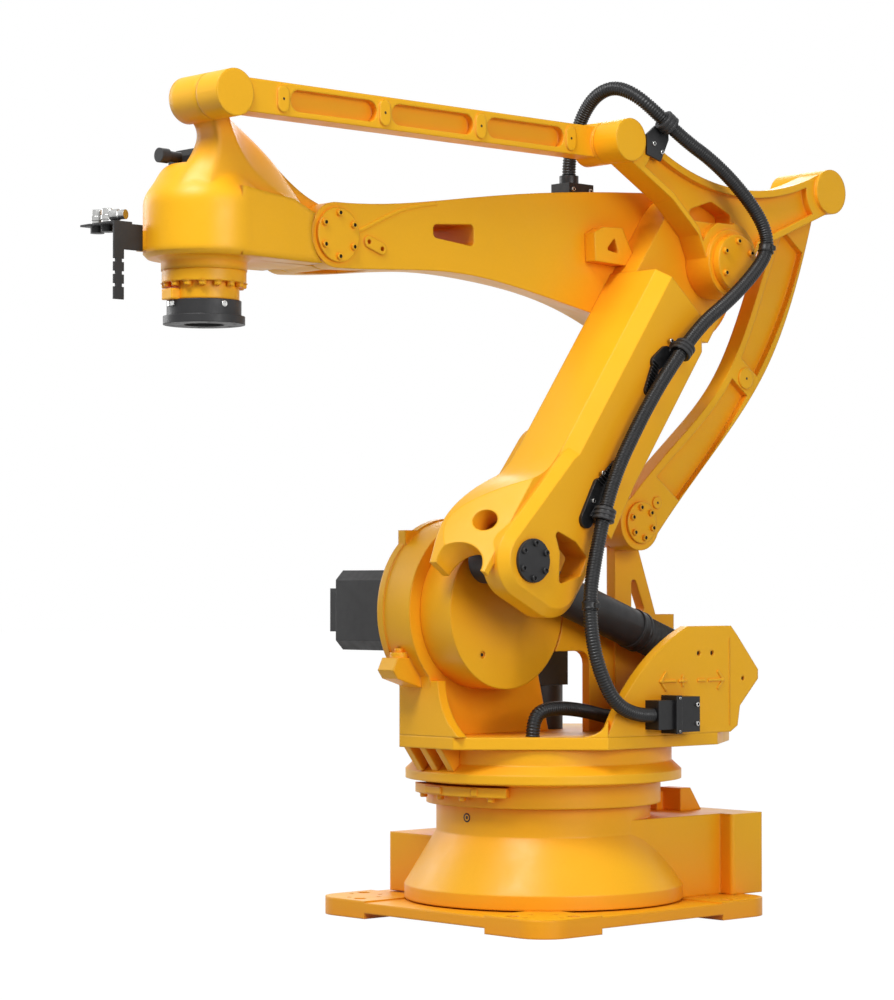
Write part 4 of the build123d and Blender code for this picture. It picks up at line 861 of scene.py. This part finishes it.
class ARM_OT_fittings(bpy.types.Operator):
    """Small fittings: connectors, bands, pads and marks, and two small walls of the turning part."""

    bl_idname = "arm.fittings"
    bl_label = "Fittings"

    def execute(self, context):
        """Makes the fittings of each body."""
        self.connectors()
        self.flange_marks()
        self.turning_marks()
        self.clamp_bands()
        self.rod_pads()
        self.forearm_ridge()
        self.turning_stop()
        self.connector_flange()
        self.cylinder_bands()
        self.cross_wall()
        self.panel_foot()
        return {"FINISHED"}

    def connectors(self):
        """Bright connector shells over the posts of the sensor bracket."""
        low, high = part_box("sensor_bracket")
        shell = ((0.0152, 0.0), (0.0152, 0.008), (0.0170, 0.009), (0.0170, 0.019), (0.0150, 0.020),
                 (0.0150, 0.034), (0.0125, 0.036), (0.0, 0.036))
        base = high.z - 0.035
        for number, y in enumerate((-0.163, -0.121)):
            mesh = lathe(f"connector_shell_{number}", shell, (high.x - 0.028, y, base), UP, 32)
            piece(f"connector_shell_{number}", mesh, "wrist", "steel")
        plug = ((0.0, 0.0), (0.013, 0.0), (0.0142, 0.002), (0.0142, 0.022), (0.0120, 0.024),
                (0.0120, 0.040), (0.0, 0.040))
        across = Vector((-0.35, 0.94, 0.0)).normalized()
        mesh = lathe("connector_plug", plug, (high.x - 0.030, -0.108, base + 0.019), across, 32)
        piece("connector_plug", mesh, "wrist", "steel")

    def flange_marks(self):
        """Index block over the tool flange, its two marks and the ground screw."""
        low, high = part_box("tool_flange")
        centre = (low + high) / 2
        yellow = bmesh.new()
        degrees = -6.0
        point, away = round_point(centre, 0.094, degrees, high.z + 0.012)
        block(yellow, point, (0.026, 0.046, 0.026), math.radians(degrees))
        piece("index_block", closed("index_block", yellow), "wrist", "yellow_paint")
        bright = bmesh.new()
        for degrees in (-14.0, -4.0):
            point, away = round_point(centre, 0.0915, degrees, high.z - 0.010)
            block(bright, point, (0.008, 0.013, 0.012), math.radians(degrees), 0.001)
        piece("index_marks", closed("index_marks", bright), "flange", "steel")
        point, away = round_point(centre, 0.0905, 84.0, high.z - 0.012)
        washer = ((0.0, -0.002), (0.0078, -0.002), (0.0078, 0.002), (0.0070, 0.0028), (0.0042, 0.0028),
                  (0.0036, 0.0008), (0.0, 0.0008))
        piece("ground_screw", lathe("ground_screw", washer, point, away, 32), "flange", "steel")

    def turning_marks(self):
        """Raised arrows, plus and minus for the two ways of turning, without letters."""
        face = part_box("side_panel")[1].y - 0.0005
        width, height, middle = 0.0075, 0.0034, 0.630
        barb, spread_out, arm = 0.020, 0.022, 0.012
        seam, seam_top, seam_foot = -0.3385, 0.740, 0.510
        mesh = bmesh.new()
        for tip, tail in ((-0.066, -0.122), (-0.312, -0.256)):
            back = tip + math.copysign(barb, tail - tip)
            stroke(mesh, (tip, middle), (tail, middle), width, face, height)
            for side in (-1, 1):        # strokes that cross differ in height, so that no faces coincide
                end = (back, middle + side * spread_out)
                stroke(mesh, (tip, middle), end, width, face, height * (0.8 + 0.06 * side))
        for centre, upright in ((-0.152, True), (-0.226, False)):
            stroke(mesh, (centre - arm, middle), (centre + arm, middle), width, face, height)
            if upright:
                stroke(mesh, (centre, middle - arm), (centre, middle + arm), width, face, height * 0.8)
        stroke(mesh, (seam, seam_top), (seam, seam_foot), 0.0035, face, 0.0016)
        piece("turning_marks", closed("turning_marks", mesh), "carousel", "yellow_paint")

    def clamp_bands(self):
        """Ridged bands round the hose in its three clamps, and the teeth of the two strips."""
        valley, crest, foot, flat = 0.0265, 0.0292, 0.0045, 0.0030
        ridges = []
        for middle in (-0.012, 0.0, 0.012):
            ridges += [(valley, middle - foot), (crest, middle - flat), (crest, middle + flat),
                       (valley, middle + foot)]
        for number, (run, body) in enumerate(zip(CLAMP_RUNS, ("lower_arm", "lower_arm", "level_lever"))):
            along = (HOSE_ROUTE[run + 1] - HOSE_ROUTE[run]).normalized()
            mesh = lathe(f"clamp_band_{number}", ridges, run_middle(run), along, 40)
            piece(f"clamp_band_{number}", mesh, body, "black_paint")
        teeth = bmesh.new()
        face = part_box("hose_clamps")[0].y + 0.0098
        count, start, pitch, taper = 9, 0.076, 0.0095, 0.018
        for run, way in ((CLAMP_RUNS[0], 1), (CLAMP_RUNS[1], -1)):
            back = run_middle(run) - SHOULDER
            x = back.x * math.cos(LEAN) + back.z * math.sin(LEAN)
            z = back.z * math.cos(LEAN) - back.x * math.sin(LEAN)
            for step in range(count):
                up = z + way * (start + pitch * step)
                out = x + 0.034 - taper * step / (count - 1)
                ends = [arm_point(out + side, 0.0, up) for side in (-0.006, 0.016)]
                stroke(teeth, (ends[0].x, ends[0].z), (ends[1].x, ends[1].z), 0.0042, face, 0.004)
        piece("strip_teeth", closed("strip_teeth", teeth), "lower_arm", "black_plastic")

    def rod_pads(self):
        """Round pads of the bowed rear rod."""
        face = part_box("rear_rod_cap")[1].y - 0.0085
        thick, edge = 0.005, 0.0035
        for (name, radius), (x, z) in zip((("rear_rod_pad", 0.030), ("rear_rod_foot_pad", 0.017)), REAR_PADS):
            profile = ((0.0, 0.0), (radius, 0.0), (radius, edge), (radius - 0.002, thick), (0.0, thick))
            piece(name, lathe(name, profile, (x, face, z), LEFT, 40), "rear_link", "yellow_paint")

    def forearm_ridge(self):
        """Raised line that runs from the wrist fork to the top of the forearm, on both sides."""
        width, height = 0.013, 0.0035
        route = ((0.770, 1.7660), (0.741, 1.7778), (0.707, 1.7945), (0.6635, 1.8146), (0.623, 1.8321),
                 (0.582, 1.8437), (0.537, 1.8540), (0.497, 1.8610))
        mesh = bmesh.new()
        for side in (LEFT, RIGHT):
            points = [surface_point("forearm", x, z, side) for x, z in route]
            ribbon(mesh, points, side, width, height)
        piece("forearm_ridge", closed("forearm_ridge", mesh), "forearm", "yellow_paint")

    def turning_stop(self):
        """Blocks on the stop segment of the turning part."""
        low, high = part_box("turret_stop")
        middle = (low.z + high.z) / 2
        mesh = bmesh.new()
        radius, depth, height = 0.3465, 0.010, 0.019
        for degrees, width in ((-11.0, 0.078), (14.0, 0.020)):
            point, away = round_point(ORIGIN, radius, degrees, middle)
            block(mesh, point, (depth, width, height), math.radians(degrees))
        piece("stop_block", closed("stop_block", mesh), "carousel", "yellow_paint")

    def connector_flange(self):
        """Flange of the connector block where the hose starts."""
        low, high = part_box("hose_block")
        mesh = bmesh.new()
        centre = (-0.0785, (low.y + high.y) / 2 + 0.001, HOSE_ROUTE[0].z)
        block(mesh, centre, (0.022, high.y - low.y, 0.100), 0.0, 0.0015)
        piece("connector_flange", closed("connector_flange", mesh), "carousel", "black_plastic")

    def cylinder_bands(self):
        """End band of the balancer's barrel."""
        pin = arm_point(0.162, 0.175, 0.043)
        anchor = Vector((-0.430, 0.175, 0.672))
        along = (anchor - pin).normalized()
        inner, radius, start, width = 0.051, 0.0535, 0.538, 0.038
        bead = radius + 0.0022
        band = ((inner, 0.0), (radius, 0.0), (bead, 0.002), (bead, 0.008), (radius, 0.010), (radius, 0.028),
                (bead, 0.030), (bead, 0.036), (radius, width), (inner, width))
        mesh = lathe("barrel_band", band, pin + along * start, along, 56)
        piece("barrel_band", mesh, "balancer_cylinder", "black_paint")


    def cross_wall(self):
        """Wall with an arched window behind the drum, from the tower of the rear rod to the drum."""
        top, crown, corner, clear = 0.806, 0.707, 0.035, 0.213
        rear, rear_top, leg, floor = -0.165, 0.765, -0.065, 0.489
        outline = [(rear, floor), (leg, floor)]
        for degrees in (180.0, 157.5, 135.0, 112.5, 90.0):
            angle = math.radians(degrees)
            x = leg + corner + corner * math.cos(angle)
            outline.append((x, crown - corner + corner * math.sin(angle)))
        for z in (crown, 0.732, 0.757, 0.782, top):     # along the drum, which turns beside it
            outline.append((SHOULDER.x - math.sqrt(clear ** 2 - (SHOULDER.z - z) ** 2), z))
        outline.append((rear, rear_top))
        left_y, thick = 0.110, 0.026
        mesh = plate("cross_wall", outline, LEFT * left_y, Vector((1, 0, 0)), RIGHT * thick)
        piece("cross_wall", mesh, "carousel", "yellow_paint")

    def panel_foot(self):
        """Hollowed foot that leads from the side panel to the slanted edge of the floor."""
        seam, thick = 0.0003, 0.030
        outline = ((0.0, 0.489), (0.064, 0.489), (0.064, 0.491), (0.046, 0.494), (0.030, 0.500),
                   (0.018, 0.508), (0.009, 0.519), (0.0, 0.535))
        along = Vector((1, -1, 0)).normalized()
        inward = Vector((-1, -1, 0)).normalized()
        corner = Vector((0.131, 0.368, 0)) + inward * seam
        mesh = plate("panel_foot", outline, corner, along, inward * thick)
        piece("panel_foot", mesh, "carousel", "yellow_paint")


class ARM_OT_finishes(bpy.types.Operator):
    """Finishes on the CAD nodes."""

    bl_idname = "arm.finishes"
    bl_label = "Finishes"

    def execute(self, context):
        """Gives every CAD node the finish of its slot."""
        slots = {name: shape.data.materials[0].name.split(".")[0] for name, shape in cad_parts.items()}
        unknown = set(slots.values()) - set(FINISHES)
        if unknown:
            raise RuntimeError(f"unknown finishes {sorted(unknown)}")
        for packed in {shape.data.materials[0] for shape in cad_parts.values()}:
            packed.name = "packed_" + packed.name
        for name, slot in slots.items():
            flowing = "_flowing" if name in FLOWING_NODES else ""
            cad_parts[name].data.materials[0] = finish(slot + flowing)
        return {"FINISHED"}


def area_lamp(name, place, aim, size, power):
    """A square soft lamp."""
    lamp = bpy.data.lights.new(name, "AREA")
    lamp.size = size
    lamp.energy = power
    holder = placed(name, lamp)
    holder.location = place
    holder.rotation_euler = (Vector(aim) - Vector(place)).to_track_quat("-Z", "Y").to_euler()


def seen_share(tree):
    """1 for rays from the camera, a mirror or glass, and 0 for light."""
    path = node(tree, "ShaderNodeLightPath")
    first = math_node(tree, "MAXIMUM", path.outputs["Is Camera Ray"], path.outputs["Is Glossy Ray"])
    return math_node(tree, "MAXIMUM", first, path.outputs["Is Transmission Ray"])


class ARM_OT_stage(bpy.types.Operator):
    """Camera, pale floor and soft studio light."""

    bl_idname = "arm.stage"
    bl_label = "Stage"

    def execute(self, context):
        """Makes the camera, world, lamps and floor."""
        scene = context.scene
        camera = bpy.data.cameras.new("camera")
        camera.lens = SENSOR * FOCAL_PIXELS / IMAGE_HEIGHT
        camera.sensor_width = SENSOR
        camera.clip_end = 200.0
        holder = placed("camera", camera)
        ahead = Vector((-1, -1, 0)).normalized()
        right = ahead.cross(UP)
        aim = ahead - right * (AXIS_OFFSET / FOCAL_PIXELS) + UP * (HORIZON_OFFSET / FOCAL_PIXELS)
        holder.location = CAMERA_PLACE
        holder.rotation_euler = aim.to_track_quat("-Z", "Y").to_euler()
        scene.camera = holder
        scene.view_settings.view_transform = "Standard"
        world = bpy.data.worlds.new("studio")
        scene.world = world
        world.use_nodes = True
        tree = world.node_tree
        out = tree.nodes["World Output"]
        light = tree.nodes["Background"]
        light.inputs["Color"].default_value = AMBIENT
        light.inputs["Strength"].default_value = AMBIENT_STRENGTH
        white = node(tree, "ShaderNodeBackground")
        white.inputs["Color"].default_value = (1.0, 1.0, 1.0, 1.0)
        mix = node(tree, "ShaderNodeMixShader")
        tree.links.new(seen_share(tree), mix.inputs[0])
        tree.links.new(light.outputs[0], mix.inputs[1])
        tree.links.new(white.outputs[0], mix.inputs[2])
        tree.links.new(mix.outputs[0], out.inputs["Surface"])
        for name, place, aim, size, power in LAMPS:
            area_lamp(name, place, aim, size, power)
        self.floor()
        return {"FINISHED"}

    def floor(self):
        """A pale floor that stays white to the camera apart from the object's shadow."""
        half = FLOOR_HALF
        mesh = bpy.data.meshes.new("floor")
        corners = [(-half, -half, 0), (half, -half, 0), (half, half, 0), (-half, half, 0)]
        mesh.from_pydata(corners, [], [(0, 1, 2, 3)])
        floor = placed("floor", mesh)
        material, tree, shader, place = finish_base("pale_floor")
        tone = mixed(tree, spread(tree, noise(tree, place, 1.2, 3.0), 0.0, 1.0), *FLOOR_GREYS)
        tree.links.new(tone, shader.inputs["Base Color"])
        shader.inputs["Roughness"].default_value = 0.9
        glow = node(tree, "ShaderNodeEmission")
        glow.inputs["Strength"].default_value = FLOOR_GLOW
        mix = node(tree, "ShaderNodeMixShader")
        share = math_node(tree, "MULTIPLY", seen_share(tree), FLOOR_GLOW_SHARE)
        tree.links.new(share, mix.inputs[0])
        tree.links.new(shader.outputs[0], mix.inputs[1])
        tree.links.new(glow.outputs[0], mix.inputs[2])
        tree.links.new(mix.outputs[0], tree.nodes["Material Output"].inputs["Surface"])
        mesh.materials.append(material)


class ARM_PT_panel(bpy.types.Panel):
    """The arm's pieces and sizes in the sidebar."""

    bl_idname = "ARM_PT_panel"
    bl_label = "Palletising arm"
    bl_space_type = "VIEW_3D"
    bl_region_type = "UI"
    bl_category = "Arm"

    def draw(self, context):
        """Lists the settings and the operators."""
        for group in settings():
            for name in group.__annotations__:
                self.layout.prop(group, name)
        for operator in OPERATORS:
            self.layout.operator(operator.bl_idname)


GROUPS = {"arm_paint": PaintSettings, "arm_hose": HoseSettings, "arm_fasteners": FastenerSettings}
OPERATORS = (ARM_OT_stage, ARM_OT_finishes, ARM_OT_hoses, ARM_OT_fasteners, ARM_OT_fittings)


def register():
    """Registers the settings, operators and panel."""
    for name, group in GROUPS.items():
        bpy.utils.register_class(group)
        setattr(bpy.types.Scene, name, PointerProperty(type=group))
    for made in (*OPERATORS, ARM_PT_panel):
        bpy.utils.register_class(made)


def unregister():
    """Removes what register adds."""
    for made in (ARM_PT_panel, *reversed(OPERATORS)):
        bpy.utils.unregister_class(made)
    for name, group in GROUPS.items():
        delattr(bpy.types.Scene, name)
        bpy.utils.unregister_class(group)


def main():
    """Builds the scene piece by piece."""
    register()
    bpy.ops.arm.stage()
    bpy.ops.arm.finishes()
    bpy.ops.arm.hoses()
    bpy.ops.arm.fasteners()
    bpy.ops.arm.fittings()


if __name__ == "__main__":
    main()
